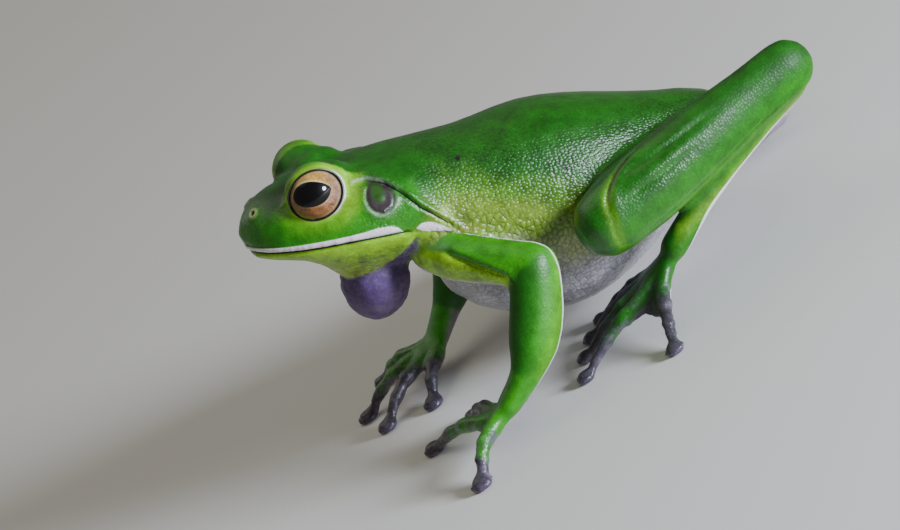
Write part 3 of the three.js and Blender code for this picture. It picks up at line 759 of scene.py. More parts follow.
paint = {
    "back": "#0f5b01", "bright": "#278402", "olive": "#568c10", "yellow": "#7c9c2a", "cream": "#b4c088",
    "belly": "#bfbbc4", "ochre": "#9c7a2c", "lidPale": "#f4f4ec", "lidYellow": "#86bb1c",
    "lidGreen": "#579c0c", "throat": "#94cc02", "throatLow": "#a4c824", "speck": "#3f4a1e", "sac": "#5e477a",
    "sacPale": "#86738f", "arm": "#2f8c04", "lobe": "#a2e00c", "fringe": "#e0dcd0", "under": "#97899a",
    "digit": "#423e48", "disc": "#3c3842", "web": "#4f4157", "drum": "#302629", "drumGreen": "#214e07",
    "nostril": "#b9c47c", "dark": "#10110b",
}
paint = {name: linear(code) for name, code in paint.items()}


def over(colour, name, weight):
    return colour + (paint[name] - colour) * np.clip(weight, 0, 1)[:, None]


def paintTrunk(at):
    colour = np.tile(paint["back"], (len(at.points), 1))
    whole = table(trunkShades["yellowFrom"], at.s) - table(trunkShades["whiteFrom"], at.s)
    patchy = 1.6 * cloudy(at.points, 5.0, 1) + 0.8 * cloudy(at.points, 1.6, 2)
    low = belowGreen(at) + patchy
    colour = over(colour, "olive", 0.75 * ease(low, -5.5, -0.5))
    colour = over(colour, "yellow", ease(low, -1.2, 2.2))
    colour = over(colour, "ochre", 0.45 * bump(at.s, 38.5, 2.2) * bump(at.t, -6.9, 0.9))
    colour = over(colour, "cream", ease(low / whole, 0.55, 0.95))
    return over(colour, "belly", ease(low / whole, 0.95, 1.5))


def paintHead(at):
    s, t = at.s, at.t
    d = aboveMouth(at)
    colour = np.tile(paint["back"], (len(at.points), 1))
    colour = over(colour, "bright", 0.85 * ease(t, 6, 1))
    below = ease(d, 0.0, -0.7) * ease(s, 0, 3)
    colour = over(colour, "throat", below)
    specks = ease(cloudy(at.points, 1.0, 4), 0.15, 0.5)
    colour = over(colour, "throatLow", ease(d, -4, -8) * below * 0.9)
    colour = over(colour, "speck", 0.8 * specks * ease(d, -1.5, -4.5) * below)
    colour = over(colour, "throat", ease(s, 27, 30) * bump(t, -5.6, 1.2))
    near, _, side = fromPath(sacCrease, at.flat)
    ragged = near * side + 0.5 * cloudy(at.points, 0.9, 7)
    under = (t < -5.5) * ease(ragged, 0.2, -0.15) * ease(s, 30.5, 29)
    colour = over(colour, "sac", under)
    return over(colour, "under", 0.6 * bump(ragged, 0.35, 0.22) * (t < -6.5) * (s < 29.5))


def paintEyeSurrounds(colour, at):
    for name, side in sides.items():
        alongLid, upLid, gaze = gazeAxes(side)
        off = at.points - eyeCentre(name, side)
        a, b = off @ alongLid, off @ upLid
        ring = lidRing(a, b)
        near = (np.linalg.norm(off, axis=1) < 11) & (off @ gaze > -1)
        rear = ease(a / (ring + 0.01), 0.5, 4.5)
        colour = over(colour, "lidGreen", 0.8 * near * ease(ring, 1.9, 1.1))
        colour = over(colour, "lidYellow", near * rear * ease(ring, 2.0, 1.15) * 0.9)
        colour = over(colour, "lidYellow", near * 0.7 * ease(ring, 1.25, 1.05))
        white = whiteShare(a, b)
        colour = over(colour, "lidPale", near * white * ease(ring, 1.03 + 0.05 * white, 1.0 + 0.03 * white))
    return colour


def paintArm(colour, at, sideName):
    share, angle, _, _ = limbPlace(at, "upper_arm", sideName)
    mine = at.isPart("upper_arm_" + sideName)
    # the lobe of loose skin starts at the armpit's fold, whose angle changes along the arm
    foldAt = table([(0, -20), (0.34, -44), (0.41, -53), (0.53, -69), (0.63, -84), (0.76, -100)], share)
    under = foldAt - angle
    colour = over(colour, "lobe", mine * ease(under, -4, 6) * (under < 150))
    mottle = ease(cloudy(at.points, 1.2, 11), 0.05, 0.4) * ease(under, 1, 8) * (under < 75)
    colour = over(colour, "speck", 0.5 * mine * mottle)
    colour = over(colour, "fringe", mine * ease(angle, -118, -134) * 0.9)
    pale = mine * ease(share, 0.42, 0.3) * bump(under, -14, 10) * (0.4 + cloudy(at.points, 0.9, 5))
    colour = over(colour, "under", 0.8 * pale)
    angle = limbPlace(at, "forearm", sideName)[1]
    mine = at.isPart("forearm_" + sideName)
    # painted shade: the forearm's top and inner side are darkened to the back's green
    colour = over(colour, "back", mine * 0.9 * ease(angle, 100, 25))
    return over(colour, "lidGreen", mine * 0.75 * bump(angle, 116, 20))


def paintLeg(colour, at, sideName):
    angle = limbPlace(at, "tarsus", sideName)[1]
    mine = at.isPart("tarsus_" + sideName) | at.isPart("foot_" + sideName)
    # a yellow-green band low on the outer side of the tarsus and foot, partly their own colour and partly a
    # painted highlight
    colour = over(colour, "lidYellow", mine * 0.5 * bump(angle, 118, 22))
    # a pale line beside the knee's crease: the fold's lighter ridge, partly its own colour and partly a
    # painted highlight
    near, share, _ = fromPath(limbFolds["knee"][sideName], at.points)
    return over(colour, "lidYellow", 0.4 * bump(near, 0.5, 0.4) * ease(share, 0.1, 0.6))


def paintDigits(colour, at):
    isDigit = isKind(at, "finger", "toe")
    lines = []
    for name, (root, disc) in digits.items():
        mine = at.isPart(name)
        u = np.clip(alongDigit(at, root, disc), 0, 1)
        greenTo = digitShape["greenTo"].get(name[:name.rfind("_")], digitShape["greenElse"])
        colour = over(colour, "digit", mine * ease(u, greenTo + 0.12, greenTo - 0.12))
        colour = over(colour, "dark", mine * 0.5 * (bump(u, 0.5, 0.03) + bump(u, 0.72, 0.03)))
        ring = np.linalg.norm((at.points - disc)[:, :2], axis=1)
        colour = over(colour, "disc", mine * ease(ring, 3.1, 2.5))
        lines.append(np.array([root, disc])[:, :2])
    mottle = isDigit * ease(cloudy(at.points, 1.3, 8), 0.0, 0.4) * ease(at.normals[:, 2], 0.95, 0.3)
    colour = over(colour, "sacPale", (0.5 + 0.3 * isKind(at, "finger")) * mottle)
    fromDigit = np.min([fromPath(line, at.points[:, :2])[0] for line in lines], axis=0)
    return over(colour, "web", isDigit * ease(fromDigit, 1.5, 2.1))


def paintLimbs(at):
    isArm = isKind(at, "upper_arm", "forearm", "hand", "finger")
    colour = np.where(isArm[:, None], paint["arm"], paint["back"])
    up = at.normals[:, 2]
    outward = at.normals[:, 1] * np.where(at.y < 0, -1, 1)
    colour = over(colour, "bright", 0.6 * ease(up, 0.3, -0.4))
    colour = over(colour, "lidGreen", ease(up + 0.5 * outward, -0.15, -0.6) * 0.7)
    colour = over(colour, "under", ease(0.8 * up + 0.6 * outward, -0.4, -0.8))
    for sideName in sides:
        colour = paintLeg(paintArm(colour, at, sideName), at, sideName)
    return paintDigits(colour, at)


backSpots = [  # dark spots: place from the snout tip, and radius
    (40.0, -10.4, -9.4, 0.56), (55.1, -16.2, -21.0, 0.48), (47.0, 6.0, -8.6, 0.3), (30.0, 9.0, -6.6, 0.25),
]
lineReach = 1.0  # the signed distance to a line is kept this near to it
farOff = 2.0  # and stands at this elsewhere
# half-widths of the painted shade lines: under the lip, by s, and in the eardrum's crease, by its share of
# the way
mouthShadow = [(0, 0.17), (20, 0.13), (28.8, 0.05), (29.6, -0.3)]
creaseShadow = [(0, -0.2), (0.12, 0.02), (0.25, 0.13), (0.8, 0.12), (1, -0.1)]


def measureLines(at, lines):
    across = np.full(len(at.points), farOff)
    half = np.full(len(at.points), -1.0)
    for signed, width in lines:
        mine = (np.abs(signed) < np.abs(across)) & (np.abs(signed) < lineReach)
        across[mine] = signed[mine]
        half[mine] = width[mine]
    return across, half


def measureMarks(at):
    d = aboveMouth(at)
    lipTop = table(mouth["lip"], at.s)
    stripe = np.where((at.s < 28) & isKind(at, "head", "torso"), np.minimum(d, lipTop - d), -farOff)
    near, share, _ = fromPath(lipPatch["line"], at.flat)
    onHead = isKind(at, "head", "torso", "tympanum") & (at.out > cheekOut)
    patch = np.where(onHead, table(lipPatch["half"], share) - near, -farOff)
    # pale fringes, and dark lines of painted shade in the limbs' folds
    pale, dark = [], []
    for sideName in sides:
        for group, key, found in ((fringes, "half", pale), (limbFolds, "dark", dark)):
            for line in group.values():
                near, share, side = fromPath(line[sideName], at.points, at.normals)
                found.append((near * side, table(line[key], share)))
    # painted shade: a dark line under the lip's overhang
    dark.append((d + 0.2, np.where(isKind(at, "head"), table(mouthShadow, at.s), -1)))
    # painted shade: a dark line along the eardrum's crease
    near, share, side = fromPath(eardrumCrease, at.flat)
    dark.append((near * side, np.where(onHead, table(creaseShadow, share), -1)))
    # the nostril's dark middle is painted shade in its opening; the back's spots are their own colour
    spot = nostril["openingShadeRadius"] - fromNostril(at, wide=1.3, high=0.8)
    for x, y, z, size in backSpots:
        spot = np.maximum(spot, size - fromPlace(at, snoutTip + (x, y, z)))
    marks = {"lip": np.maximum(stripe, patch), "spot": spot}
    marks = {name: np.clip(value, -farOff, farOff) for name, value in marks.items()}
    marks["fringeAcross"], marks["fringeHalf"] = measureLines(at, pale)
    marks["darkAcross"], marks["darkHalf"] = measureLines(at, dark)
    return marks


# keeps values on an object's points as an attribute that its material reads
def keepValues(obj, name, kind, values):
    attribute = obj.data.attributes.new(name, kind, "POINT")
    field = {"FLOAT": "value", "FLOAT_VECTOR": "vector", "FLOAT_COLOR": "color"}[kind]
    if kind == "FLOAT_COLOR":
        values = np.column_stack([values, np.ones(len(values))])
    attribute.data.foreach_set(field, np.asarray(values, np.float32).ravel())


wetness = {  # how much of the film of water each part holds, and along some of them
    "parts": {"torso": 1, "head": 0.9, "thigh": 0.8, "shank": 1, "upper_arm": 0.9, "forearm": 0.5,
              "tarsus": 0.6, "vocal_sac": 0.2, "tympanum": 0.8, "hand": 0.7, "foot": 0.6, "finger": 0.8,
              "toe": 0.8},
    "along": {"shank": [(0, 1), (0.35, 1), (0.6, 0.3), (1, 0.1)],
              "upper_arm": [(0, 0.9), (0.7, 0.9), (1, 0.55)],
              "forearm": [(0, 0.5), (0.12, 0.4), (0.3, 0.2), (1, 0.35)]},
    "crownDry": 0.5, "backDry": 0.35, "lidRim": 0.8,
}
coarseness = {  # how strong the granules are on each part
    "torso": 1, "head": 0.7, "thigh": 0.9, "shank": 0.9, "upper_arm": 0.6, "forearm": 0.55, "tarsus": 0.6,
    "vocal_sac": 0.9, "tympanum": 0.25, "hand": 0.6, "foot": 0.6, "finger": 1.3, "toe": 1.3,
}


def byPart(at, values):
    return np.array([values[kind] for kind in kindOfNode], float)[at.part]


def measureWet(at):
    wet = byPart(at, wetness["parts"])
    for sideName in sides:
        for kind, along in wetness["along"].items():
            share = limbPlace(at, kind, sideName)[0]
            wet = np.where(at.isPart(kind + "_" + sideName), table(along, share), wet)
    wet *= 1 - wetness["crownDry"] * isKind(at, "head") * ease(at.t, 3.5, 6.5)
    wet *= 1 - wetness["backDry"] * isKind(at, "torso") * ease(at.t, -2, 4)
    return spread(wet, at.edges, 6)


def measureRows(at):
    # rows of beads on the flank, on the cheek below the eardrum, and along the upper edge of its crease
    low = belowGreen(at)
    rows = ease(low, -15, -6) * ease(low, 4, 0) * isKind(at, "torso") * ease(at.s, 31, 36)
    onHead = isKind(at, "head", "torso") & (at.out > 8)
    rows = np.maximum(rows, 0.9 * onHead * bump(at.s, 24.5, 4.6) * bump(at.t, -1.0, 1.5))
    near, share, side = fromPath(eardrumCrease, at.flat)
    rows = np.maximum(rows, 0.9 * onHead * bump(near * side, 0.9, 0.6) * ease(share, 0.6, 0.3))
    return spread(rows, at.edges, 3)


def measureCobble(at):
    # whole on the flank and belly, less under the arm and on the throat
    cobble = ease(belowGreen(at), 0.5, 4.5) * isKind(at, "torso")
    for sideName in sides:
        angle = limbPlace(at, "upper_arm", sideName)[1]
        cobble += 0.6 * at.isPart("upper_arm_" + sideName) * ease(angle, -60, -85) * (angle > -170)
    cobble += 0.7 * isKind(at, "head") * ease(aboveMouth(at), -1.5, -4) * ease(at.s, 8, 12)
    return spread(cobble, at.edges, 3)


def measureGrain(at):
    grain = byPart(at, coarseness)
    for name, side in sides.items():
        grain *= ease(fromPlace(at, eyeCentre(name, side)), 5.8, eyeShape["lidReach"]) * 0.75 + 0.25
    return spread(grain, at.edges, 1)


def paintEardrum(colour, at):
    ring = fromEardrum(at)
    onSide = (at.out > cheekOut) & (at.s < 31)
    colour = over(colour, "drum", onSide * ease(ring, 2.75, 2.4))
    greenPatch = ease(np.hypot(at.s - 24.9, (at.t - 3.5) / 1.3), 1.5, 0.9)
    colour = over(colour, "drumGreen", onSide * 0.9 * greenPatch)
    colour = over(colour, "lidPale", onSide * 0.35 * bump(ring, 2.95, 0.2) * ease(at.t, 3.5, 1))
    near, share, side = fromPath(eardrumCrease, at.flat)
    paleLip = 0.35 * (at.out > 7) * bump(near * side, 0.45, 0.2) * ease(share, 0.55, 0.2)
    return over(colour, "lidPale", paleLip)


def paintSac(at):
    colour = np.tile(paint["sac"], (len(at.points), 1))
    return over(colour, "sacPale", 0.5 * ease(at.normals[:, 2], 0.3, -0.9) + 0.6 * cloudy(at.points, 1.8, 6))


def mixed(colour, other, share):
    return colour + (other - colour) * share[:, None]


def paintSkin(obj):
    at = Places(obj)
    colour = mixed(paintTrunk(at), paintHead(at), ease(at.s, 33.5, 30.5))
    colour = paintEyeSurrounds(colour, at)
    colour = over(colour, "nostril", 0.8 * bump(fromNostril(at), 0.8, 0.35))
    colour = paintEardrum(colour, at)
    isSac = isKind(at, "vocal_sac").astype(float)
    colour = mixed(colour, paintSac(at), spread(isSac, at.edges, 1))
    isLimb = (~isKind(at, "head", "torso", "vocal_sac", "tympanum")).astype(float)
    colour = mixed(colour, paintLimbs(at), spread(isLimb, at.edges, 1))
    keepValues(obj, "pigment", "FLOAT_COLOR", spread(colour, at.edges, 1))
    values = {**measureMarks(at), "cobble": measureCobble(at), "grain": measureGrain(at),
              "rows": measureRows(at), "wet": measureWet(at)}
    for name, value in values.items():
        keepValues(obj, name, "FLOAT", value)
    girth = np.arctan2(at.y, at.t - beads["axis"]) * beads["girth"]
    place = np.stack([at.s / beads["along"], girth / beads["rowGap"], 0 * girth], 1)
    keepValues(obj, "bead", "FLOAT_VECTOR", place)
    print("skin painted")


# Materials

# a node given as a value stands for its first output
def addNode(tree, kind, settings=None, inputs=None):
    made = tree.nodes.new(kind)
    for name, value in (settings or {}).items():
        setattr(made, name, value)
    for name, value in (inputs or {}).items():
        if isinstance(value, bpy.types.Node):
            value = value.outputs[0]
        if isinstance(value, bpy.types.NodeSocket):
            tree.links.new(value, made.inputs[name])
        else:
            made.inputs[name].default_value = value
    return made


def emptyMaterial(name):
    material = bpy.data.materials.new(name)
    material.use_nodes = True
    tree = material.node_tree
    tree.nodes.clear()
    return material, tree


granules = {  # the fine ones of the back, in mm
    "across": 0.52, "height": 0.09, "randomness": 0.8, "roundTo": 0.75, "topPaintedLight": 0.1, "gapPaintedShade": -0.22,
}
beads = {  # granules set in rows, in mm; axis is the t of the trunk's middle, and girth its radius
    "axis": -9.0, "girth": 19.0, "along": 0.74, "rowGap": 0.58, "height": 0.17, "randomness": 0.8,
    "gap": 0.45, "gapShadeColour": "#6f7a5a",
}
# the dark lines are painted shade; the spot mark holds the back's own spots and the nostril's painted shade
markColours = [  # with half the softness of the edge, in mm
    ("fringe", "#e4dfd8", 0.07), ("lip", "#ece0ea", 0.09), ("dark", "#0f120a", 0.07),
    ("spot", "#12120c", 0.08),
]
moist = {
    "patchAcross": 4.0, "patchShade": (0.62, 1.36),  # cloudy light and dark patches
    "roughness": (0.32, 0.44), "dryRoughness": 0.3, "ior": 1.38,  # dry skin is rougher by so much
    "filmRoughness": 0.31, "filmIor": 1.4,
    "filmRelief": 0.58, "skinRelief": 0.3,  # the film of water follows the granules more sharply
    "subsurface": 0.05, "subsurfaceReach": 0.5,
}


# Moist frog skin: a thin film of water over fine granules, so that it glitters where it is wet; flat cobbles
# with darker seams on the flank and belly; where it is drier, it is rougher and duller.
def moistSkin():
    material, tree = emptyMaterial("moist_frog_skin")
    place = addNode(tree, "ShaderNodeTexCoord").outputs["Object"]
    field = {}
    for name in ("cobble", "rows", "grain", "wet", "lip", "spot", "fringeAcross", "fringeHalf", "darkAcross",
                 "darkHalf"):
        field[name] = addNode(tree, "ShaderNodeAttribute", {"attribute_name": name}).outputs["Fac"]
    colour = addNode(tree, "ShaderNodeAttribute", {"attribute_name": "pigment"}).outputs["Color"]
    beadPlace = addNode(tree, "ShaderNodeAttribute", {"attribute_name": "bead"}).outputs["Vector"]

    # pigment in patches, with painted light on each granule's top and painted shade in the gaps between
    # granules
    fine = addNode(tree, "ShaderNodeTexVoronoi", {"feature": "F1"},
                   {"Vector": place, "Scale": 1 / (granules["across"] * mm),
                    "Randomness": granules["randomness"]})
    patchy = addNode(tree, "ShaderNodeTexNoise", None,
                     {"Vector": place, "Scale": 1 / (moist["patchAcross"] * mm), "Detail": 5.0,
                      "Roughness": 0.65})
    darkest, lightest = moist["patchShade"]
    shade = addNode(tree, "ShaderNodeMapRange", None,
                    {"Value": patchy, "From Min": 0.3, "From Max": 0.7, "To Min": darkest,
                     "To Max": lightest})
    grainShade = addNode(tree, "ShaderNodeMapRange", None,
                         {"Value": fine, "From Min": 0.1, "From Max": granules["roundTo"],
                          "To Min": granules["topPaintedLight"], "To Max": granules["gapPaintedShade"]})
    grainShade = addNode(tree, "ShaderNodeMath", {"operation": "MULTIPLY_ADD"},
                         {0: grainShade, 1: field["grain"], 2: 1.0})
    tone = addNode(tree, "ShaderNodeMath", {"operation": "MULTIPLY"}, {0: shade, 1: grainShade})
    base = addNode(tree, "ShaderNodeVectorMath", {"operation": "SCALE"}, {0: colour, "Scale": tone})

    # seams between the cobbles
    edge = addNode(tree, "ShaderNodeMapRange", {"interpolation_type": "SMOOTHSTEP"},
                   {"Value": cobbleCells(tree, place), "From Min": 0.0, "From Max": cobbles["groove"]})
    seam = addNode(tree, "ShaderNodeMath", {"operation": "SUBTRACT"}, {0: 1.0, 1: edge})
    for factor in (field["cobble"], cobbles["seam"]):
        seam = addNode(tree, "ShaderNodeMath", {"operation": "MULTIPLY"}, {0: seam, 1: factor})
    coat = addNode(tree, "ShaderNodeMix", {"data_type": "RGBA", "blend_type": "MULTIPLY"},
                   {0: seam, 6: base, 7: (*linear(cobbles["seamColour"]), 1)}).outputs[2]

    # crisp marks, cut where their distance passes 0; the dark lines among them are painted shade
    for name in ("fringe", "dark"):
        away = addNode(tree, "ShaderNodeMath", {"operation": "ABSOLUTE"}, {0: field[name + "Across"]})
        field[name] = addNode(tree, "ShaderNodeMath", {"operation": "SUBTRACT"},
                              {0: field[name + "Half"], 1: away})
    for name, code, soft in markColours:
        cut = addNode(tree, "ShaderNodeMapRange", {"interpolation_type": "SMOOTHSTEP"},
                      {"Value": field[name], "From Min": -soft, "From Max": soft})
        coat = addNode(tree, "ShaderNodeMix", {"data_type": "RGBA"},
                       {0: cut, 6: coat, 7: (*linear(code), 1)}).outputs[2]

    # beads, with painted shade in the gaps between them
    rows = addNode(tree, "ShaderNodeTexVoronoi", {"feature": "F1", "voronoi_dimensions": "2D"},
                   {"Vector": beadPlace, "Scale": 1.0, "Randomness": beads["randomness"]})
    gap = addNode(tree, "ShaderNodeMapRange", {"interpolation_type": "SMOOTHSTEP"},
                  {"Value": rows, "From Min": 0.35, "From Max": 0.7, "To Max": beads["gap"]})
    gap = addNode(tree, "ShaderNodeMath", {"operation": "MULTIPLY"}, {0: gap, 1: field["rows"]})
    coat = addNode(tree, "ShaderNodeMix", {"data_type": "RGBA", "blend_type": "MULTIPLY"},
                   {0: gap, 6: coat, 7: (*linear(beads["gapShadeColour"]), 1)}).outputs[2]

    # height of cobbles, granules and beads together
    raised = {}
    for name, pattern, top, foot, tall in (("rows", rows, 0.05, 0.62, beads["height"]),
                                           ("grain", fine, 0.0, granules["roundTo"], granules["height"])):
        dome = addNode(tree, "ShaderNodeMapRange", {"interpolation_type": "SMOOTHSTEP"},
                       {"Value": pattern, "From Min": top, "From Max": foot, "To Min": tall * mm,
                        "To Max": 0.0})
        raised[name] = addNode(tree, "ShaderNodeMath", {"operation": "MULTIPLY"}, {0: dome, 1: field[name]})
    flats = addNode(tree, "ShaderNodeMath", {"operation": "MULTIPLY"}, {0: edge, 1: field["cobble"]})
    height = addNode(tree, "ShaderNodeMath", {"operation": "MULTIPLY_ADD"},
                     {0: flats, 1: cobbles["relief"] * mm, 2: raised["grain"]})
    height = addNode(tree, "ShaderNodeMath", {"operation": "ADD"}, {0: height, 1: raised["rows"]})
    relief, soft = [
        addNode(tree, "ShaderNodeBump", None, {"Height": height, "Strength": strength, "Distance": 1.0})
        for strength in (moist["filmRelief"], moist["skinRelief"])
    ]

    smoothest, roughest = moist["roughness"]
    gloss = addNode(tree, "ShaderNodeMapRange", None,
                    {"Value": patchy, "From Min": 0.35, "From Max": 0.65, "To Min": smoothest,
                     "To Max": roughest})
    dry = addNode(tree, "ShaderNodeMath", {"operation": "SUBTRACT"}, {0: 1.0, 1: field["wet"]})
    gloss = addNode(tree, "ShaderNodeMath", {"operation": "MULTIPLY_ADD"},
                    {0: dry, 1: moist["dryRoughness"], 2: gloss})
    surface = addNode(tree, "ShaderNodeBsdfPrincipled", {"subsurface_method": "RANDOM_WALK"}, {
        "Base Color": coat, "Roughness": gloss, "IOR": moist["ior"], "Normal": soft,
        "Subsurface Weight": moist["subsurface"], "Subsurface Scale": moist["subsurfaceReach"] * mm,
        "Coat Weight": field["wet"], "Coat Roughness": moist["filmRoughness"], "Coat IOR": moist["filmIor"],
        "Coat Normal": relief,
    })
    addNode(tree, "ShaderNodeOutputMaterial", None, {"Surface": surface})
    return material


# Eyes: the pupil's edge and the iris colours are kept by place on the ball, in mm back and up from its middle

pupilEdge = [
    (3.05, 0.5), (2.6, 1.25), (1.8, 1.9), (0.6, 2.45), (-0.7, 2.75), (-2.0, 2.65), (-3.1, 2.1), (-3.8, 1.2),
    (-4.05, 0.3), (-3.7, -0.6), (-2.8, -1.35), (-1.3, -1.75), (0.1, -1.75), (1.35, -1.4), (2.3, -0.65),
]
irisShades = {  # by the angle round the eye, from its rear end up and over
    "angles": [-180, -120, -60, -15, 30, 75, 120, 180],
    "codes": ["#7a5a2c", "#8e5a28", "#8f5f40", "#94705f", "#9a7550", "#b48a40", "#ac863c", "#7a5a2c"],
    "pupilLine": [(-180, 0.1), (-110, 0.1), (-70, 0.35), (-40, 0.5), (-10, 0.1), (20, 0.2), (60, 0.8),
                  (120, 0.9), (160, 0.4), (180, 0.1)],
    "bright": [(0, 1.2), (2.5, 1.2), (4.2, 0.85), (5.2, 0.7)],  # by mm from the middle
    "pupilLineColour": "#d2bc86", "outerColour": "#b59a78", "darkColour": "#08080b",
}
cornea = {"innerRoughness": 0.4, "innerIor": 1.15, "roughness": 0.02, "ior": 1.376}


def insideOutline(outline, x, y):
    outline = smoothPath(outline + outline[:1], 0.2)
    near = fromPath(outline, np.stack([x, y], 1))[0]
    inside = np.zeros(len(x), bool)
    for (ax, ay), (bx, by) in zip(outline, outline[1:]):
        crosses = (ay > y) != (by > y)
        with np.errstate(divide="ignore", invalid="ignore"):
            inside ^= crosses & (x < ax + (y - ay) * (bx - ax) / (by - ay))
    return np.where(inside, near, -near)


# Eye under a wet cornea: bronze iris with fine dark veins and a wide dark pupil, under a sharp highlight.
def wetEye():
    material, tree = emptyMaterial("wet_bronze_eye")
    field = {}
    for name in ("pupil", "limbus", "pupilLine"):
        field[name] = addNode(tree, "ShaderNodeAttribute", {"attribute_name": name}).outputs["Fac"]
    iris = addNode(tree, "ShaderNodeAttribute", {"attribute_name": "iris"}).outputs["Color"]
    spoke = addNode(tree, "ShaderNodeAttribute", {"attribute_name": "spoke"}).outputs["Vector"]
    veins = addNode(tree, "ShaderNodeTexNoise", None,
                    {"Vector": spoke, "Scale": 1.0, "Detail": 6.0, "Roughness": 0.7, "Distortion": 0.6})
    vein = addNode(tree, "ShaderNodeMapRange", None,
                   {"Value": veins, "From Min": 0.32, "From Max": 0.68, "To Min": 0.3, "To Max": 1.6})
    colour = addNode(tree, "ShaderNodeVectorMath", {"operation": "SCALE"}, {0: iris, "Scale": vein})
    rim = addNode(tree, "ShaderNodeMapRange", {"interpolation_type": "SMOOTHSTEP"},
                  {"Value": field["pupil"], "From Min": -0.42, "From Max": -0.12})
    rim = addNode(tree, "ShaderNodeMath", {"operation": "MULTIPLY"}, {0: rim, 1: field["pupilLine"]})
    edge = addNode(tree, "ShaderNodeMapRange", {"interpolation_type": "SMOOTHSTEP"},
                   {"Value": field["limbus"], "From Min": 0.8, "From Max": 0.9, "To Max": 0.45})
    layers = [(rim, "pupilLineColour"), (edge, "outerColour")]
    for name, low, high in (("limbus", 0.9, 0.965), ("pupil", -0.06, 0.06)):
        cut = addNode(tree, "ShaderNodeMapRange", {"interpolation_type": "SMOOTHSTEP"},
                      {"Value": field[name], "From Min": low, "From Max": high})
        layers.append((cut, "darkColour"))
    for share, shade in layers:
        colour = addNode(tree, "ShaderNodeMix", {"data_type": "RGBA"},
                         {0: share, 6: colour, 7: (*linear(irisShades[shade]), 1)}).outputs[2]
    surface = addNode(tree, "ShaderNodeBsdfPrincipled", None, {
        "Base Color": colour, "Roughness": cornea["innerRoughness"], "IOR": cornea["innerIor"],
        "Coat Weight": 1.0, "Coat Roughness": cornea["roughness"], "Coat IOR": cornea["ior"],
    })
    addNode(tree, "ShaderNodeOutputMaterial", None, {"Surface": surface})
    return material


# puts points given along the lid, up the lid and along the gaze in their place on the head
def placeOnHead(piece, name, side, local):
    axes = np.array(gazeAxes(side))
    setVerts(piece.data, eyeCentre(name, side) + local @ axes)
    if np.linalg.det(axes) < 0:
        piece.data.flip_normals()


def giveMaterial(piece, material):
    piece.data.materials.append(material)
    use(piece)
    bpy.ops.object.shade_smooth()


def makeEye(name, side, material):
    radius = eyeShape["radius"]
    bpy.ops.mesh.primitive_uv_sphere_add(segments=128, ring_count=80, radius=radius * mm)
    eye = bpy.context.object
    eye.name = eye.data.name = "eyeball_" + name
    local = vertsOf(eye.data)
    front = np.clip(local[:, 2] / radius, 0, 1)
    local = local * (1 + eyeShape["corneaRise"] / radius * front ** 6)[:, None]
    placeOnHead(eye, name, side, local)
    a, b, g = local.T
    angle = np.degrees(np.arctan2(b, a))
    shades = np.array([linear(code) for code in irisShades["codes"]])
    iris = np.stack([np.interp(angle, irisShades["angles"], shades[:, i]) for i in range(3)], 1)
    reach = np.hypot(a, b)
    keepValues(eye, "iris", "FLOAT_COLOR", iris * table(irisShades["bright"], reach)[:, None])
    around = np.stack([a, b], 1) / reach.clip(0.1)[:, None]
    # by direction and, more slowly, by distance, so that the veins run outwards
    keepValues(eye, "spoke", "FLOAT_VECTOR", np.column_stack([4.4 * around, 1.1 * reach]))
    keepValues(eye, "pupilLine", "FLOAT", table(irisShades["pupilLine"], angle))
    pupil = np.clip(insideOutline(pupilEdge, a, b), -farOff, farOff)
    keepValues(eye, "pupil", "FLOAT", np.where(g > 0, pupil, -farOff))
    rear = ease(around[:, 0], 0.4, 0.95)
    keepValues(eye, "limbus", "FLOAT", np.where(g > 0, lidRing(a, b) + 0.035 * rear, farOff))
    giveMaterial(eye, material)
    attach(eye, "root")
    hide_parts("eye_" + name)


lidRim = {
    # half its width, by the angle round the eye
    "half": [(-180, 0.28), (-100, 0.28), (-50, 0.42), (0, 0.5), (40, 0.4), (80, 0.28), (180, 0.28)],
    "rise": 0.27,
    "over": 0.24,  # its middle above the eyeball
}


# The fold of skin along the opening's edge, dark on the side of the eye
def makeRim(name, side, material):
    # a ring of radius 1 mm and tube radius 0.5 mm, stretched to the opening
    bpy.ops.mesh.primitive_torus_add(major_segments=128, minor_segments=14, major_radius=mm,
                                     minor_radius=0.5 * mm)
    rim = bpy.context.object
    rim.name = rim.data.name = "lid_rim_" + name
    x, y, z = vertsOf(rim.data).T
    angle = np.arctan2(y, x)
    half = table(lidRim["half"], np.degrees(angle))
    across = (np.hypot(x, y) - 1) * 2 * half
    rise = z * 2 * lidRim["rise"]
    c, s = math.cos(eyeShape["openTilt"]), math.sin(eyeShape["openTilt"])
    long, high = eyeShape["openHalf"]
    a = long * np.cos(angle) * c - high * np.sin(angle) * s
    b = long * np.cos(angle) * s + high * np.sin(angle) * c
    radius = eyeShape["radius"] + lidRim["over"]
    base = np.stack([a, b, np.sqrt(radius ** 2 - a ** 2 - b ** 2)], 1)
    outward = base / radius
    away = np.stack([a, b, 0 * a], 1)
    away -= np.einsum("ij,ij->i", away, outward)[:, None] * outward
    away /= np.linalg.norm(away, axis=1)[:, None]
    placeOnHead(rim, name, side, base + away * across[:, None] + outward * rise[:, None])
    colour = np.tile(paint["lidYellow"], (len(x), 1))
    colour = over(colour, "lidPale", whiteShare(a, b))
    colour = over(colour, "dark", ease(across / half, -0.2, -0.5))
    keepValues(rim, "pigment", "FLOAT_COLOR", colour)
    for mark in ("lip", "spot", "fringeHalf", "darkHalf"):
        keepValues(rim, mark, "FLOAT", np.full(len(x), -farOff))
    keepValues(rim, "wet", "FLOAT", np.full(len(x), wetness["lidRim"]))
    giveMaterial(rim, material)
    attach(rim, "root")


# Floor, light and camera

view = {
    "lookAt": (0.0, 0.0, 23.5),  # mm
    "eyeX": -12.3,  # x of the eyes' centres, measured as lookAt is
    "elevation": 19, "roll": 35, "lens": 120, "imageWidth": 900, "pixelsPerMm": 5.4,
}


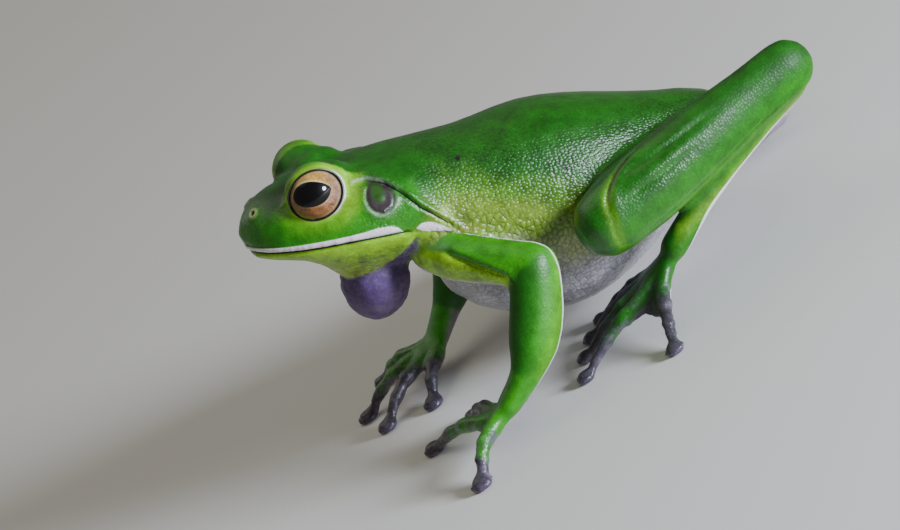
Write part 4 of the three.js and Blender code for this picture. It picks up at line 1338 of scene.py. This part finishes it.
def makeCamera():
    elevation, roll = math.radians(view["elevation"]), math.radians(view["roll"])
    data = bpy.data.cameras.new("camera")
    data.lens = view["lens"]
    data.clip_start = 0.01
    distance = view["lens"] / data.sensor_width * view["imageWidth"] / view["pixelsPerMm"]
    target = Vector(view["lookAt"]) + Vector((eyeMiddle["left"][0] - view["eyeX"], midline, 0))
    back = Vector((0, -math.cos(elevation), math.sin(elevation)))
    level, upright = Vector((1, 0, 0)), Vector((0, math.sin(elevation), math.cos(elevation)))
    right = math.cos(roll) * level - math.sin(roll) * upright
    up = math.sin(roll) * level + math.cos(roll) * upright
    camera = bpy.data.objects.new("camera", data)
    turn = Matrix((right, up, back)).transposed()
    camera.matrix_world = Matrix.Translation((target + back * distance) * mm) @ turn.to_4x4()
    bpy.context.scene.collection.objects.link(camera)
    bpy.context.scene.camera = camera


lamps = {
    "key": {"at": (0.56, -0.5, 0.2), "size": 0.22, "power": 13.2, "colour": "#e8f0ff"},
    "fill": {"at": (-0.25, 0.55, 1.5), "size": 1.6, "power": 3.6, "colour": "#fff6e6"},
    "rear": {"at": (-0.5, 0.8, 0.7), "size": 0.7, "power": 0.7, "colour": "#ffffff"},
}
studio = {
    "floorAcross": 8, "floorColour": "#eeece8", "floorRoughness": 0.9, "airColour": "#efece0",
    "airStrength": 0.2, "lampsAimAt": (0, 0, 0.025),
}


# Matt pale paper floor: plain, so that the frog's own colours show.
def makeStudio():
    bpy.ops.mesh.primitive_plane_add(size=studio["floorAcross"])
    floor = bpy.context.object
    floor.name = "floor"
    material, tree = emptyMaterial("matt_pale_paper")
    surface = addNode(tree, "ShaderNodeBsdfPrincipled", None,
                      {"Base Color": (*linear(studio["floorColour"]), 1),
                       "Roughness": studio["floorRoughness"]})
    addNode(tree, "ShaderNodeOutputMaterial", None, {"Surface": surface})
    floor.data.materials.append(material)
    for name, lamp in lamps.items():
        data = bpy.data.lights.new(name, "AREA")
        data.shape = "DISK"
        data.size = lamp["size"]
        data.energy = lamp["power"]
        data.color = linear(lamp["colour"])
        made = bpy.data.objects.new(name, data)
        made.location = lamp["at"]
        aim = Vector(studio["lampsAimAt"]) - Vector(lamp["at"])
        made.rotation_euler = aim.to_track_quat("-Z", "Y").to_euler()
        bpy.context.scene.collection.objects.link(made)
    world = bpy.data.worlds.new("studio")
    world.use_nodes = True
    air = world.node_tree.nodes["Background"]
    air.inputs["Color"].default_value = (*linear(studio["airColour"]), 1)
    air.inputs["Strength"].default_value = studio["airStrength"]
    bpy.context.scene.world = world


makeCamera()
makeStudio()
frogSkin = remeshSkin()
findLines(frogSkin)
refineDetail(frogSkin)
applyModifier(frogSkin, "SMOOTH", factor=0.5, iterations=skin["smoothDetail"])
sculptSkin(frogSkin)
paintSkin(frogSkin)
pressCobbles(frogSkin)
skinMaterial = moistSkin()
giveMaterial(frogSkin, skinMaterial)
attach(frogSkin, "root")
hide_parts(*fleshNodes)
eyeMaterial = wetEye()
for sideName, sideSign in sides.items():
    makeEye(sideName, sideSign, eyeMaterial)
    makeRim(sideName, sideSign, skinMaterial)
print("eyes made")
print("skin has", sum(len(p.vertices) - 2 for p in frogSkin.data.polygons), "triangles")
